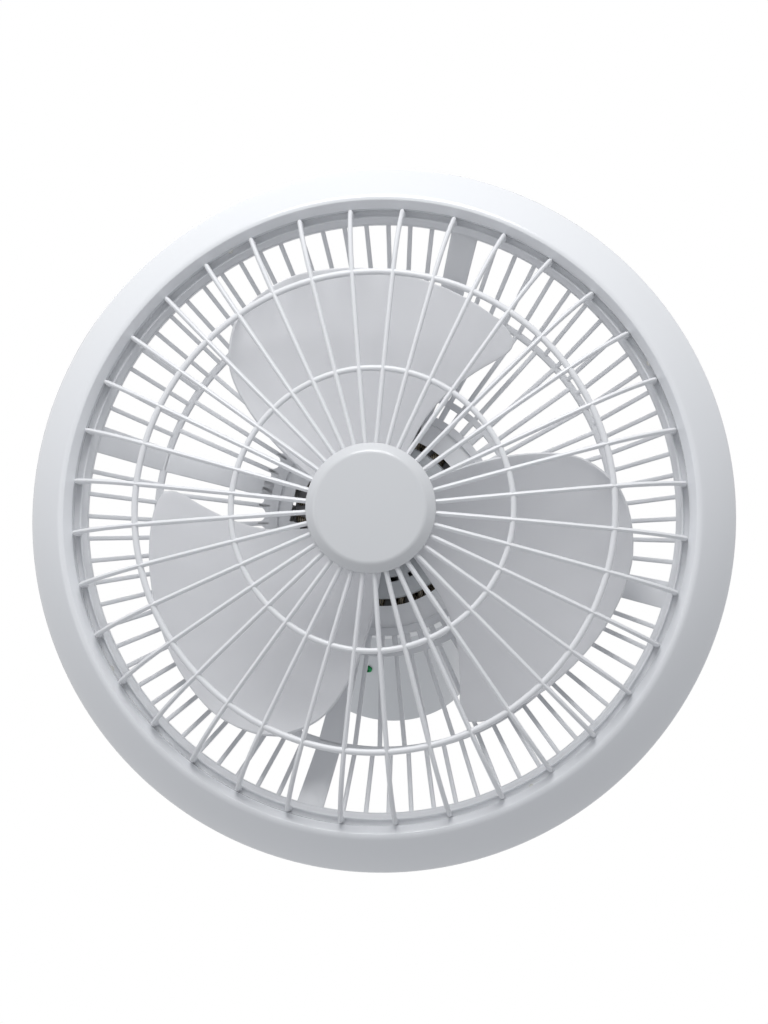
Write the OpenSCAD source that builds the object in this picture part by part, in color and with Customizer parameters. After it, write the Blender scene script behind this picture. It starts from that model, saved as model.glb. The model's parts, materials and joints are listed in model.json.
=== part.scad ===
// Orbital ceiling fan: a caged fan head that hangs from a ball joint under a
// ceiling canopy and circles once per turn of a slow swing motor, without
// spinning itself. Origin: centre of the ceiling plate's mounting face, +Z up.

/* [Ceiling mount] */
// Diameter of the ceiling plate
plate_d = 114; // [112:1:115]
// Thickness of the ceiling plate
plate_t = 3; // [2:0.5:4]
// Bolt circle of the ceiling screws
mount_circle_d = 98; // [94:1:100]
// Diameter of the ceiling screw holes
mount_hole_d = 5.5; // [4.5:0.5:6]
// Distance from the ceiling to the top of the mechanism case
hanger_drop = 62; // [58:1:80]
// Width of the hanger strap
hanger_w = 36; // [30:1:40]

/* [Canopy] */
// Outer diameter of the canopy
canopy_d = 124; // [122:1:136]
// Wall of the canopy
canopy_wall = 2.5; // [1.5:0.25:2.5]
// Radius of the canopy's lower edge
canopy_round = 10; // [6:1:12]
// How far the canopy reaches below the joint of the case
canopy_cover = 6.5; // [5:0.5:10]

/* [Swing drive] */
// Angle between the head's axis and the vertical
head_tilt = 40; // [36:1:42]
// Diameter of the swivel ball
ball_d = 60; // [58:1:62]
// Gap between the ball and its seat
ball_gap = 0.25; // [0.2:0.05:0.4]
// Diameter of the neck between the ball and the motor
neck_d = 21; // [18:1:22]
// Diameter of the tail pin in the crank
tail_d = 10; // [8:1:11]
// Reach of the tail pin from the centre of the ball
tail_reach = 56; // [54:1:60]
// Diameter of the crank journal
journal_d = 20; // [16:1:22]
// Wall of the cast case and the socket housing
case_wall = 3.2; // [2.5:0.1:4]
// Diameter of the swing motor's can
swing_motor_d = 50; // [46:1:52]
// Height of the swing motor's can
swing_motor_h = 18; // [14:1:22]

/* [Fan motor] */
// Room between the stator core and the outside of the motor housing
core_room = 15; // [14.5:0.1:17]
// Length of the stator core
core_len = 20; // [16:1:24]
// Width of the stator core between its bore and its outside
core_ring = 34; // [33:0.5:36]
// Air gap between rotor and stator
air_gap = 0.5; // [0.3:0.1:0.8]
// Height of the winding heads beyond the core
winding_h = 11; // [10:0.5:14]
// Diameter of the motor shaft
shaft_d = 8; // [6:0.5:9]
// Outer diameter of the motor housing
housing_d = 164; // [160:1:170]

/* [Guards] */
// Outer diameter of the trim ring
trim_d = 500; // [490:2:560]
// Width of the trim ring's sloping face
trim_w = 25; // [20:1:30]
// Depth of the rear guard's dished outer zone
rear_dish = 32.5; // [28:0.5:38]
// Radius of the rear guard's middle ring
mid_ring_r = 161; // [150:1:168]
// Width of the rear guard's ribs
rear_rib_w = 3.2; // [2:0.1:4]
// Depth of the rear guard's ribs
rear_rib_t = 4; // [3:0.5:6]
// Ribs between two struts in the outer zone
outer_ribs = 19; // [15:1:21]
// Ribs between two struts in the closer-ribbed half of the inner zone
inner_ribs = 13; // [9:1:15]
// Number of ribs in the front grille
front_ribs = 36; // [24:2:40]
// Width of the front grille's ribs
front_rib_w = 3.5; // [2.5:0.1:4.5]
// Depth of the front grille's ribs
front_rib_t = 5; // [3.5:0.5:6]
// Height of the front grille's dome above the rear guard's rim
dome_h = 72; // [68:1:76]
// Diameter of the centre cap
cap_d = 90; // [84:1:96]

/* [Blades] */
// Number of blades
blades = 3; // [3:1:3]
// Radius of the blade tips
tip_r = 180.5; // [170:0.5:184]
// Axial rise of a blade from its leading to its trailing edge
blade_rise = 36; // [28:1:38]
// Depth of the hollow across a blade
blade_camber = 7; // [3:0.5:10]
// Thickness of a blade
blade_t = 2.4; // [1.8:0.1:3]
// Diameter of the blade hub
hub_d = 64; // [56:1:70]

/* [Hidden] */
$fn = 96;
seam = 0.2; // gap between neighbouring parts that only meet loosely

// Ceiling mount and canopy
plate_r = plate_d / 2;
canopy_r = canopy_d / 2;
canopy_in_r = canopy_r - canopy_wall;
canopy_top = -0.5;
mount_holes = 4;
mount_turn = 45;
cable_hole_r = 10;
lug_t = 2.5;
lug_w = 16;
lug_drop = 14;
lug_x = canopy_in_r - 1.1;
canopy_screw_z = -plate_t - lug_drop / 2 - 1;
strap_t = 2.5;
leg_y = 38;
foot_y = 54;
foot_screw_y = 46;
gland_r = 5.5;

// Swing drive, from the ceiling down to the pivot
ball_r = ball_d / 2;
seat_r = ball_r + ball_gap;
neck_r = neck_d / 2;
tail_r = tail_d / 2;
journal_r = journal_d / 2;
run_gap = 0.04;
case_top = -hanger_drop;
case_t = 3.5;
boss_len = 20;
crank_top = case_top - case_t - boss_len - 1;
crank_t = 6;
crank_bottom = crank_top - crank_t;
crank_r = 36;
pivot_z = crank_bottom - tail_reach * cos(head_tilt) - tail_r * sin(head_tilt) - 3;
case_bottom = crank_bottom - 4;
bush_wall = 3.5;
tail_bush_wall = 2;
tail_bush_near = ball_r + 10;
tail_bush_far = tail_reach - 4;
crank_boss_r = tail_r + tail_bush_wall + 5;
crank_sweep = tail_bush_far * sin(head_tilt) + crank_boss_r * cos(head_tilt);
housing_in_r = crank_sweep + 1.6;
housing_r = housing_in_r + case_wall;
spigot_h = 6;
spigot_t = 3;
spigot_r = housing_in_r - seam;
canopy_bottom = case_bottom - canopy_cover;
gland_z = canopy_bottom + 24;
earth_z = canopy_bottom + 47;
earth_turn = -82;
canopy_hole_r = housing_r + 1;
seat_top = 18.5;
seat_bottom = 13.5;
ring_r = 41;
ring_screw_r = 35.6;
peg_r = 2.5;
peg_reach = ball_r + 4.2;
peg_slot_w = 14.4;
peg_slot_r = peg_reach + 2.4;
swing_shaft_r = 3.5;
swing_shaft_end = case_top - case_t - 13.5;
ear_y = swing_motor_d / 2 + 4.5;

// Head, along its own axis from the pivot (+Z is the front of the fan)
neck_len = ball_r + 10;
flange_t = 4;
flange_r = 26;
flange_screw_r = 19;
cover_wall = 2.5;
cover_back = neck_len + flange_t;
shield_back = cover_back + cover_wall;
housing_out_r = housing_d / 2;
shield_t = 3.5;
core_back = shield_back + shield_t + 1 + winding_h + seam;
core_front = core_back + core_len;
core_r = housing_out_r - core_room;
ear_r = core_r + 5;
ear_pad_r = 6;
motor_turn = -71;
motor_bolts_n = 3;
winding_top = core_front + seam + winding_h;
shield_front = winding_top + 0.8;
arm_t = 3;
pan_back = shield_front + arm_t;
pan_t = 2.2;
pan_front = pan_back + pan_t;
shield_disc_r = housing_out_r - 26;
pan_hole_r = shield_disc_r + 5;
vent_out_r = shield_disc_r - 12;
vent_l = 3.2;
pocket_w = 26;
pockets = [[-93, pan_hole_r + 14], [-3, pan_hole_r + 6]]; // angle and reach
guard_front = pan_front + pan_t;
bore_r = core_r - core_ring;
rotor_r = bore_r - air_gap;
shaft_r = shaft_d / 2;
bearing_r = 8;
bearing_len = 9;
bearing_boss_r = 13;
winding_in_r = bore_r + 10;
winding_out_r = ear_r - ear_pad_r - 0.6;

// Guards
trim_r = trim_d / 2;
trim_in_r = trim_r - trim_w;
trim_wall = 2.5;
trim_bore_r = trim_in_r - trim_wall;
rim_r = trim_bore_r - 0.5;
rim_w = 14;
rim_bore_r = rim_r - 4;
rim_t = 4.5;
rim_front = guard_front + rear_dish;
flange_in_r = housing_out_r - 5.5;
flange_out_r = housing_out_r + 0.5;
window_out_r = flange_out_r + 10.2;
inner_ring_r = window_out_r + 4.8;
window_web_w = 4;
ring_w = 5;
ring_t = 5;
strut_root_w = 12;
strut_rim_w = 20;
strut_depth = 7;
strut_spine_w = 3;
struts = [-7.7, 84.5, 172.5, 261.5]; // angles, not quite a quarter turn apart
strut_gap = 6.5; // angle between a strut and the outer rib beside it
fine_side = [1, 2]; // quarters with close inner ribs, windows and a second ring
fine_span = [struts[1], struts[3]];
tab_turn = 37.5;
tab_w = 18;
tab_t = 3;
trim_back = rim_front - rim_t - tab_t;
trim_lip = trim_back - 6.5;
trim_front = rim_front + 18;
hoop_t = 5;
hoop_w = 8;
hoop_front = rim_front + hoop_t;
rib_turn = 2.4;
rib_drift = 1.55; // the ribs close up a little on one side
grille_ring1_r = 0.741 * rim_r + 2.5;
grille_ring2_r = 97.8;
dome_r = 701;
dome_top = rim_front + dome_h;
dome_c = dome_top - dome_r;
knee_tilt = asin(grille_ring1_r / dome_r);
knee_z = dome_c + dome_r * cos(knee_tilt);
grille_edge_z = hoop_front + 10;
knee_chord = norm([rim_r - 3 - grille_ring1_r, knee_z - grille_edge_z]);
knee_slope = atan2(knee_z - grille_edge_z, rim_r - 3 - grille_ring1_r);
knee_bend = knee_slope - knee_tilt;
knee_r = knee_chord / (2 * sin(knee_bend));
knee_x = grille_ring1_r - knee_r * sin(knee_tilt);
knee_c = knee_z - knee_r * cos(knee_tilt);
cap_r = cap_d / 2;
cap_h = 7;
cap_wall = 2;
cap_back = dome_c + sqrt(dome_r * dome_r - cap_r * cap_r) + seam;
cap_front = cap_back + cap_h;
disc_r = cap_r - 3.5;
disc_back = cap_back - front_rib_t - 1;
hook_r = 30;
hook_w = 8;

// Rotor
hub_r = hub_d / 2;
hub_back = guard_front + 12.5;
hub_len = 46;
hub_front = hub_back + hub_len;
hub_wall = 2.5;
blade_mid = guard_front + 38.5;
nut_h = 14;
nut_r = 17;
pin_r = 1.5;
pin_len = 20;
shaft_end = hub_front + nut_h - 4;

// ---- helpers ----

// Points of an arc about c, from angle a to angle b in n steps
function arc(c, r, a, b, n) =
  [for (i = [0:n]) c + r * [cos(a + (b - a) * i / n), sin(a + (b - a) * i / n)]];

function reversed(list) = [for (i = [len(list) - 1:-1:0]) list[i]];

module head_frame() {
  translate([0, 0, pivot_z]) rotate([180 - head_tilt, 0, 0]) children();
}

module at_pivot() {
  translate([0, 0, pivot_z]) children();
}

module around(n, start = 0) {
  for (i = [0:n - 1]) rotate([0, 0, start + i * 360 / n]) children();
}

module tube(r_out, r_in, h) {
  difference() {
    cylinder(r = r_out, h = h);
    translate([0, 0, -1]) cylinder(r = r_in, h = h + 2);
  }
}

// Screw along -Z with its seat at z = 0, a low head and a cross recess
module screw(d, length, head_d, head_h) {
  recess_w = head_d / 6;
  recess_l = head_d * 0.6;
  difference() {
    union() {
      translate([0, 0, -length]) cylinder(d = d, h = length + head_h / 2);
      cylinder(d = head_d, h = head_h * 0.6);
      translate([0, 0, head_h * 0.6])
        cylinder(d1 = head_d, d2 = head_d * 0.7, h = head_h * 0.4);
    }
    for (turn = [0, 90]) rotate([0, 0, turn])
      translate([-recess_l / 2, -recess_w / 2, head_h * 0.4]) cube([recess_l, recess_w, head_h]);
  }
}

// ---- ceiling mount ----

module ceiling_plate() {
  color("silver")
  difference() {
    union() {
      translate([0, 0, -plate_t]) cylinder(r = plate_r, h = plate_t);
      for (side = [0, 180]) rotate([0, 0, side]) {
        translate([lug_x - 10, -lug_w / 2, -plate_t]) cube([10, lug_w, plate_t]);
        translate([lug_x - lug_t, -lug_w / 2, -plate_t - lug_drop]) cube([lug_t, lug_w, lug_drop + 1]);
      }
    }
    around(mount_holes, mount_turn)
      translate([mount_circle_d / 2, 0, -plate_t - 1]) cylinder(d = mount_hole_d, h = plate_t + 2);
    translate([0, 0, -plate_t - 1]) cylinder(r = cable_hole_r, h = plate_t + 2);
    for (side = [-1, 1]) translate([0, side * foot_screw_y, -plate_t - 1])
      cylinder(d = 5, h = plate_t + 2);
    translate([-canopy_r, 0, canopy_screw_z]) rotate([0, 90, 0]) cylinder(d = 4, h = canopy_d);
  }
}

module plate_grommet() {
  lip = 2;
  color("dimgray")
  translate([0, 0, -plate_t])
  difference() {
    union() {
      cylinder(r = cable_hole_r, h = plate_t);
      translate([0, 0, -lip]) cylinder(r = cable_hole_r + lip, h = lip);
    }
    translate([0, 0, -lip - 1]) cylinder(r = cable_hole_r - 3, h = plate_t + lip + 2);
  }
}

module hanger() {
  leg_h = hanger_drop - plate_t;
  color("silver")
  difference() {
    union() {
      for (side = [0, 180]) rotate([0, 0, side]) {
        translate([-hanger_w / 2, leg_y - strap_t, case_top]) cube([hanger_w, strap_t, leg_h]);
        translate([-hanger_w / 2, leg_y - strap_t, -plate_t - strap_t])
          cube([hanger_w, foot_y - leg_y + strap_t, strap_t]);
      }
      translate([-hanger_w / 2, -leg_y, case_top]) cube([hanger_w, 2 * leg_y, strap_t]);
    }
    translate([0, 0, case_top - 1]) cylinder(r = journal_r + 3, h = strap_t + 2);
    for (side = [-1, 1]) {
      translate([0, side * ear_y, case_top - 1]) cylinder(d = 4, h = strap_t + 2);
      translate([side * 12, side * ear_y, case_top - 1]) cylinder(d = 4, h = strap_t + 2);
      translate([0, side * foot_screw_y, -plate_t - strap_t - 1]) cylinder(d = 5, h = strap_t + 2);
    }
  }
}

module hanger_screws() {
  color("gainsboro")
  for (side = [-1, 1]) translate([0, side * foot_screw_y, -plate_t - strap_t])
    rotate([180, 0, 0]) screw(5, plate_t + strap_t - 0.5, 9, 3);
}

module terminal_block() {
  block = [16, 30, 14];
  posts = 3;
  color("ivory")
  translate([plate_r - 29, -block[1] / 2, -plate_t - block[2]])
  difference() {
    cube(block);
    for (i = [0:posts - 1]) translate([-1, 3 + i * 9, 3]) cube([block[0] + 2, 6, 5]);
    for (i = [0:posts - 1]) translate([block[0] / 2, 6 + i * 9, -1]) cylinder(d = 4, h = 5);
  }
}

module run_capacitor() {
  body = [17, 38, 26];
  color("darkslategray")
  translate([-plate_r + 12, -body[1] / 2, -plate_t - body[2]])
  union() {
    cube(body);
    for (i = [-1, 1]) translate([body[0] / 2, body[1] / 2 + i * 9, -6]) cylinder(d = 3, h = 7);
  }
}

module canopy() {
  inner_round = canopy_round - canopy_wall;
  outline = concat(
    [[canopy_r, canopy_top]],
    arc([canopy_r - canopy_round, canopy_bottom + canopy_round], canopy_round, 0, -90, 8),
    [[canopy_hole_r, canopy_bottom], [canopy_hole_r, canopy_bottom + canopy_wall]],
    arc([canopy_r - canopy_round, canopy_bottom + canopy_round], inner_round, -90, 0, 8),
    [[canopy_in_r, canopy_top]]
  );
  color("whitesmoke")
  difference() {
    rotate_extrude() polygon(outline);
    translate([-canopy_r - 1, 0, canopy_screw_z]) rotate([0, 90, 0]) cylinder(d = 4, h = canopy_d + 2);
    translate([0, 0, gland_z]) rotate([-90, 0, 0]) cylinder(r = gland_r, h = canopy_d);
    rotate([0, 0, earth_turn]) translate([0, 0, earth_z]) rotate([0, 90, 0]) cylinder(d = 3, h = canopy_d);
  }
}

module canopy_screws() {
  color("gainsboro")
  for (side = [0, 180]) rotate([0, 0, side]) translate([canopy_r, 0, canopy_screw_z])
    rotate([0, 90, 0]) screw(4, canopy_r - lug_x + lug_t, 7.5, 2.4);
}

// Strain relief bush: a collar through a wall with a lip on each side
module gland(wall) {
  lip_r = gland_r + 2.5;
  nose = 8;
  difference() {
    union() {
      translate([0, 0, -wall - 2.6]) cylinder(r = lip_r, h = 2);
      translate([0, 0, -wall - 1]) cylinder(r = gland_r, h = wall + 1.5);
      translate([0, 0, 0.1]) cylinder(r = lip_r, h = 2);
      translate([0, 0, 2]) cylinder(r1 = lip_r - 1, r2 = lip_r - 3.5, h = nose);
    }
    translate([0, 0, -wall - 4]) cylinder(r = 3, h = wall + nose + 10);
  }
}

module canopy_gland() {
  color("gainsboro")
  translate([0, canopy_r, gland_z]) rotate([-90, 0, 0]) gland(canopy_wall + 0.4);
}

module earth_screw() {
  color("seagreen")
  rotate([0, 0, earth_turn]) translate([canopy_r + 0.1, 0, earth_z]) rotate([0, 90, 0])
    screw(3, canopy_wall + 3, 6, 2.2);
}

// ---- swing drive ----

module swing_motor() {
  ear_t = 1.2;
  plug = [16, 9, 9];
  can_bottom = case_top + strap_t;
  color("silver")
  difference() {
    union() {
      translate([0, 0, can_bottom]) cylinder(d = swing_motor_d, h = swing_motor_h);
      translate([-5, -ear_y - 4, can_bottom]) cube([10, 2 * ear_y + 8, ear_t]);
      translate([0, 0, can_bottom - 2]) cylinder(r = swing_shaft_r + 3, h = 4);
      translate([-plug[0] / 2, swing_motor_d / 2 - 4, can_bottom + 4]) cube(plug);
    }
    translate([0, 0, can_bottom - 3]) cylinder(r = swing_shaft_r + run_gap, h = 12);
    for (side = [-1, 1]) translate([0, side * ear_y, can_bottom - 1]) cylinder(d = 4, h = ear_t + 2);
  }
}

module mechanism_screws() {
  ear_t = 1.2;
  reach = strap_t + case_t - 0.5;
  color("gainsboro")
  for (side = [-1, 1]) {
    translate([0, side * ear_y, case_top + strap_t + ear_t]) screw(4, reach + ear_t, 7, 2.4);
    translate([side * 12, side * ear_y, case_top + strap_t]) screw(4, reach, 7, 2.4);
  }
}

module mechanism_case() {
  bush_seat_r = journal_r + bush_wall;
  color("darkgray")
  difference() {
    union() {
      translate([0, 0, case_top - case_t]) cylinder(r = housing_r, h = case_t);
      translate([0, 0, case_bottom]) tube(housing_r, housing_in_r, case_top - case_bottom - 1);
      translate([0, 0, case_top - case_t - boss_len]) cylinder(r = bush_seat_r + 5, h = boss_len + 1);
      around(6, 30) translate([bush_seat_r, -1.5, case_top - case_t - 12])
        cube([housing_in_r - bush_seat_r + 1, 3, 13]);
    }
    translate([0, 0, case_top - case_t - boss_len - 1]) cylinder(r = bush_seat_r, h = boss_len + 1);
    translate([0, 0, case_top - case_t - 1]) cylinder(r = journal_r + 0.5, h = case_t + 2);
    for (side = [-1, 1]) {
      translate([0, side * ear_y, case_top - case_t - 1]) cylinder(d = 4, h = case_t + 2);
      translate([side * 12, side * ear_y, case_top - case_t - 1]) cylinder(d = 4, h = case_t + 2);
    }
    case_screw_bores();
  }
}

module case_screw_bores() {
  around(3, 60) translate([0, 0, case_bottom + spigot_h / 2]) rotate([0, 90, 0])
    cylinder(d = 3, h = housing_r + 2);
}

module case_screws() {
  color("gainsboro")
  around(3, 60) translate([housing_r + 0.1, 0, case_bottom + spigot_h / 2]) rotate([0, 90, 0])
    screw(3, case_wall + spigot_t, 5.5, 2);
}

module orbit_bush() {
  flange = 3;
  top = case_top - case_t;
  color("peru")
  difference() {
    union() {
      translate([0, 0, top - boss_len]) cylinder(r = journal_r + bush_wall, h = boss_len);
      translate([0, 0, top - boss_len - 0.8]) cylinder(r = journal_r + bush_wall + flange, h = 0.8);
    }
    translate([0, 0, top - boss_len - 2]) cylinder(r = journal_r + run_gap, h = boss_len + 4);
  }
}

module peg_slot() {
  translate([0, -peg_slot_w / 2, -seat_bottom - 1])
    cube([peg_slot_r, peg_slot_w, seat_bottom + seat_top + 2]);
}

module socket_housing() {
  step_z = case_bottom - pivot_z;
  outline = [
    [spigot_r - spigot_t, step_z + spigot_h], [spigot_r, step_z + spigot_h],
    [spigot_r, step_z], [housing_r, step_z], [housing_r, 11], [ring_r + 1.5, 0],
    [seat_r - 4, 0], [seat_r - 9, seat_top], [housing_in_r, seat_top],
    [housing_in_r, step_z - 2.5], [spigot_r - spigot_t, step_z - 2.5]
  ];
  color("darkgray")
  at_pivot()
  difference() {
    rotate_extrude() polygon(outline);
    sphere(r = seat_r);
    peg_slot();
    around(4, 45) translate([ring_screw_r, 0, -1]) cylinder(d = 3, h = 10);
    translate([0, 0, -pivot_z]) case_screw_bores();
  }
}

module retaining_ring() {
  chamfer = 3;
  outline = [
    [seat_r - 6, -seat_bottom], [ring_r - chamfer, -seat_bottom], [ring_r, -seat_bottom + chamfer],
    [ring_r, 0], [seat_r - 4, 0]
  ];
  color("lightgray")
  at_pivot()
  difference() {
    rotate_extrude() polygon(outline);
    sphere(r = seat_r);
    peg_slot();
    around(4, 45) translate([ring_screw_r, 0, 0]) {
      translate([0, 0, -seat_bottom - 1]) cylinder(d = 3, h = seat_bottom + 2);
      translate([0, 0, -seat_bottom - 1]) cylinder(d = 5.9, h = 3.4);
    }
  }
}

module ring_screws() {
  color("gainsboro")
  at_pivot() around(4, 45) translate([ring_screw_r, 0, -seat_bottom + 2.4])
    rotate([180, 0, 0]) screw(3, seat_bottom - 2.4 + 8, 5.5, 2);
}

module swing_shaft() {
  flat = 1;
  color("silver")
  difference() {
    translate([0, 0, swing_shaft_end])
      cylinder(r = swing_shaft_r, h = case_top + strap_t + 8 - swing_shaft_end);
    translate([swing_shaft_r - flat, -swing_shaft_r, swing_shaft_end - 1])
      cube([2 * flat, 2 * swing_shaft_r, case_top - swing_shaft_end - 2]);
    translate([0, 0, swing_shaft_end - 1]) cylinder(d = 4, h = 8);
  }
}

module crank() {
  bush_seat_r = tail_r + tail_bush_wall;
  block_w = 18;
  block_h = tail_reach * cos(head_tilt) - 22;
  color("darkgray")
  difference() {
    union() {
      translate([0, 0, crank_top - 1]) cylinder(r = journal_r, h = case_top - 0.5 - crank_top + 1);
      translate([0, 0, crank_bottom]) cylinder(r = crank_r, h = crank_t);
      translate([-block_w / 2, 10, crank_bottom - block_h + 10]) cube([block_w, crank_r - 14, block_h - 9]);
      head_frame() translate([0, 0, -tail_bush_far])
        cylinder(r = crank_boss_r, h = tail_bush_far - tail_bush_near);
    }
    head_frame() sphere(r = tail_bush_near);
    head_frame() translate([0, 0, -tail_bush_far - 1])
      cylinder(r = bush_seat_r, h = tail_bush_far - tail_bush_near + 2);
    head_frame() translate([0, 0, -tail_reach - 2]) cylinder(r = tail_r + 1.2, h = 10);
    translate([0, 0, swing_shaft_end]) cylinder(r = swing_shaft_r, h = case_top - swing_shaft_end + 1);
    translate([0, 0, crank_bottom - 1]) cylinder(d = 4, h = swing_shaft_end - crank_bottom + 2);
  }
}

module crank_bush() {
  color("peru")
  head_frame() translate([0, 0, -tail_bush_far])
    tube(tail_r + tail_bush_wall, tail_r + run_gap, tail_bush_far - tail_bush_near - 0.3);
}

module crank_screw() {
  color("gainsboro")
  translate([0, 0, crank_bottom]) rotate([180, 0, 0])
    screw(4, swing_shaft_end - crank_bottom + 5, 8, 2.6);
}

// ---- ball joint and neck ----

module swivel_ball() {
  color("silver")
  head_frame()
  difference() {
    sphere(r = ball_r);
    translate([0, 0, 6]) cylinder(r = neck_r, h = ball_r);
    translate([0, 0, -ball_r - 1]) cylinder(r = tail_r, h = ball_r - 7);
    translate([18, 0, 0]) rotate([0, 90, 0]) cylinder(r = peg_r, h = ball_r);
  }
}

module tail_pin() {
  tip = 1;
  color("gainsboro")
  head_frame() {
    translate([0, 0, -tail_reach + tip]) cylinder(r = tail_r, h = tail_reach - 8 - tip);
    translate([0, 0, -tail_reach]) cylinder(r1 = tail_r - tip, r2 = tail_r, h = tip);
  }
}

module anti_turn_peg() {
  color("gainsboro")
  head_frame() translate([18, 0, 0]) rotate([0, 90, 0]) cylinder(r = peg_r, h = peg_reach - 18);
}

module neck() {
  web_t = 3;
  color("darkgray")
  head_frame()
  difference() {
    union() {
      translate([0, 0, 6]) cylinder(r = neck_r, h = neck_len - 5);
      translate([0, 0, neck_len]) cylinder(r = flange_r, h = flange_t);
      translate([0, 0, neck_len - 4]) cylinder(r1 = neck_r, r2 = neck_r + 4, h = 4);
    }
    translate([0, 0, 10]) cylinder(r = neck_r - web_t - 1, h = neck_len);
    around(4, 45) translate([flange_screw_r, 0, neck_len - 1]) cylinder(d = 4, h = flange_t + 2);
  }
}

module neck_screws() {
  color("gainsboro")
  head_frame() around(4, 45) translate([flange_screw_r, 0, neck_len]) rotate([180, 0, 0])
    screw(4, flange_t + cover_wall + shield_t - 0.5, 7, 2.6);
}

// ---- fan motor ----

module motor_cover() {
  corner = 10;
  c = [housing_out_r - corner, cover_back + corner];
  outline = concat(
    [[8, cover_back]], arc(c, corner, -90, 0, 8),
    [[housing_out_r, pan_back], [housing_out_r - cover_wall, pan_back]],
    arc(c, corner - cover_wall, 0, -90, 8), [[8, shield_back]]
  );
  vents = 30;
  color("whitesmoke")
  head_frame()
  difference() {
    rotate_extrude() polygon(outline);
    around(4, 45) translate([flange_screw_r, 0, cover_back - 1]) cylinder(d = 4, h = cover_wall + 2);
    around(vents, 6) translate([housing_out_r - 30, -1.6, cover_back - 1]) cube([32, 3.2, 14]);
    rotate([0, 0, 90]) translate([38, 0, cover_back - 1]) cylinder(r = gland_r, h = cover_wall + 2);
  }
}

module cover_gland() {
  color("gainsboro")
  head_frame() rotate([0, 0, 90]) translate([38, 0, cover_back]) rotate([180, 0, 0]) gland(cover_wall);
}

module motor_posts(z, h) {
  around(motor_bolts_n, motor_turn) translate([ear_r, 0, z]) cylinder(r = ear_pad_r, h = h);
}

module rear_shield() {
  arm_w = 14;
  head_z = shield_back + 5;
  color("darkgray")
  head_frame()
  difference() {
    union() {
      translate([0, 0, shield_back]) cylinder(r = winding_in_r, h = shield_t);
      translate([0, 0, shield_back]) cylinder(r = bearing_boss_r, h = core_back - shield_back - 5);
      around(motor_bolts_n, motor_turn) translate([20, -arm_w / 2, shield_back])
        cube([ear_r - 21, arm_w, shield_t]);
      motor_posts(shield_back + shield_t, core_back - shield_back - shield_t);
      around(motor_bolts_n, motor_turn) translate([ear_r - ear_pad_r + 0.2, -arm_w / 2 + 2, shield_back])
        cube([ear_pad_r - 1.2, arm_w - 4, shield_t + 5]);
    }
    translate([0, 0, shield_back + shield_t]) cylinder(r = bearing_r, h = core_back);
    around(motor_bolts_n, motor_turn) translate([ear_r, 0, shield_back - 1]) {
      cylinder(d = 4, h = core_back);
      cylinder(d = 7.4, h = head_z - shield_back + 1);
    }
    around(4, 45) translate([flange_screw_r, 0, shield_back - 1]) cylinder(d = 4, h = shield_t + 2);
    rotate([0, 0, 90]) translate([38, 0, shield_back - 1]) cylinder(r = gland_r + 4, h = shield_t + 2);
  }
}

// Sleeve bearing with a spherical waist, seated on the end shield
module sleeve_bearing() {
  tube(bearing_r, shaft_r + run_gap, bearing_len);
}

module rear_bearing() {
  color("peru")
  head_frame() translate([0, 0, shield_back + shield_t]) sleeve_bearing();
}

module stator_core() {
  slots = 24;
  slot_in_r = bore_r + 5;
  slot_out_r = core_r - 11;
  color("dimgray")
  head_frame() translate([0, 0, core_back])
  difference() {
    union() {
      cylinder(r = core_r, h = core_len);
      motor_posts(0, core_len);
      around(motor_bolts_n, motor_turn) translate([core_r - 6, -ear_pad_r + 1, 0])
        cube([ear_r - core_r + 6, 2 * ear_pad_r - 2, core_len]);
    }
    translate([0, 0, -1]) cylinder(r = bore_r, h = core_len + 2);
    around(slots) {
      translate([0, 0, -1]) linear_extrude(core_len + 2)
        polygon([[slot_in_r, -2.2], [slot_out_r, -4], [slot_out_r, 4], [slot_in_r, 2.2]]);
      translate([bore_r - 2, -1.2, -1]) cube([slot_in_r - bore_r + 3, 2.4, core_len + 2]);
    }
    around(motor_bolts_n, motor_turn) translate([ear_r, 0, -1]) cylinder(d = 4, h = core_len + 2);
  }
}

// Rear winding head: a taped bundle, closed in behind the motor cover
module rear_winding() {
  corner = 4;
  low = core_back - seam - winding_h;
  outline = concat(
    [[winding_in_r, core_back - seam]],
    arc([winding_in_r + corner, low + corner], corner, 180, 270, 4),
    arc([winding_out_r - corner, low + corner], corner, 270, 360, 4),
    [[winding_out_r, core_back - seam]]
  );
  color("sienna")
  head_frame() rotate_extrude() polygon(outline);
}

// Front winding head: one wire bundle wound in open loops round the core
coil_loops = 24;
coil_steps = 24;
coil_sides = 6;
coil_wire_r = 2.6;
coil_gap_angle = 10;
coil_r = (winding_in_r + winding_out_r) / 2;
coil_half_w = (winding_out_r - winding_in_r) / 2 - coil_wire_r;
coil_half_h = winding_h / 2 - coil_wire_r;

// Point t (0 to 1) of the coil's path: an ellipse that travels round the axis
function coil_point(t) =
  let (loop = 360 * coil_loops * t,
       turn = coil_gap_angle / 2 + (360 - coil_gap_angle) * t,
       r = coil_r + coil_half_w * cos(loop))
  [r * cos(turn), r * sin(turn), coil_half_h * sin(loop)];

function unit(v) = v / norm(v);

// Ring of points about the path at t, framed by the path and the axis of its loop
function coil_ring(t) =
  let (ahead = unit(coil_point(t + 0.0001) - coil_point(t - 0.0001)),
       turn = coil_gap_angle / 2 + (360 - coil_gap_angle) * t,
       side = [-sin(turn), cos(turn), 0],
       u = unit(side - (side * ahead) * ahead),
       v = cross(ahead, u))
  [for (i = [0:coil_sides - 1])
    coil_point(t) + coil_wire_r * (cos(360 * i / coil_sides) * u + sin(360 * i / coil_sides) * v)];

coil_rings = coil_loops * coil_steps;

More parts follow.
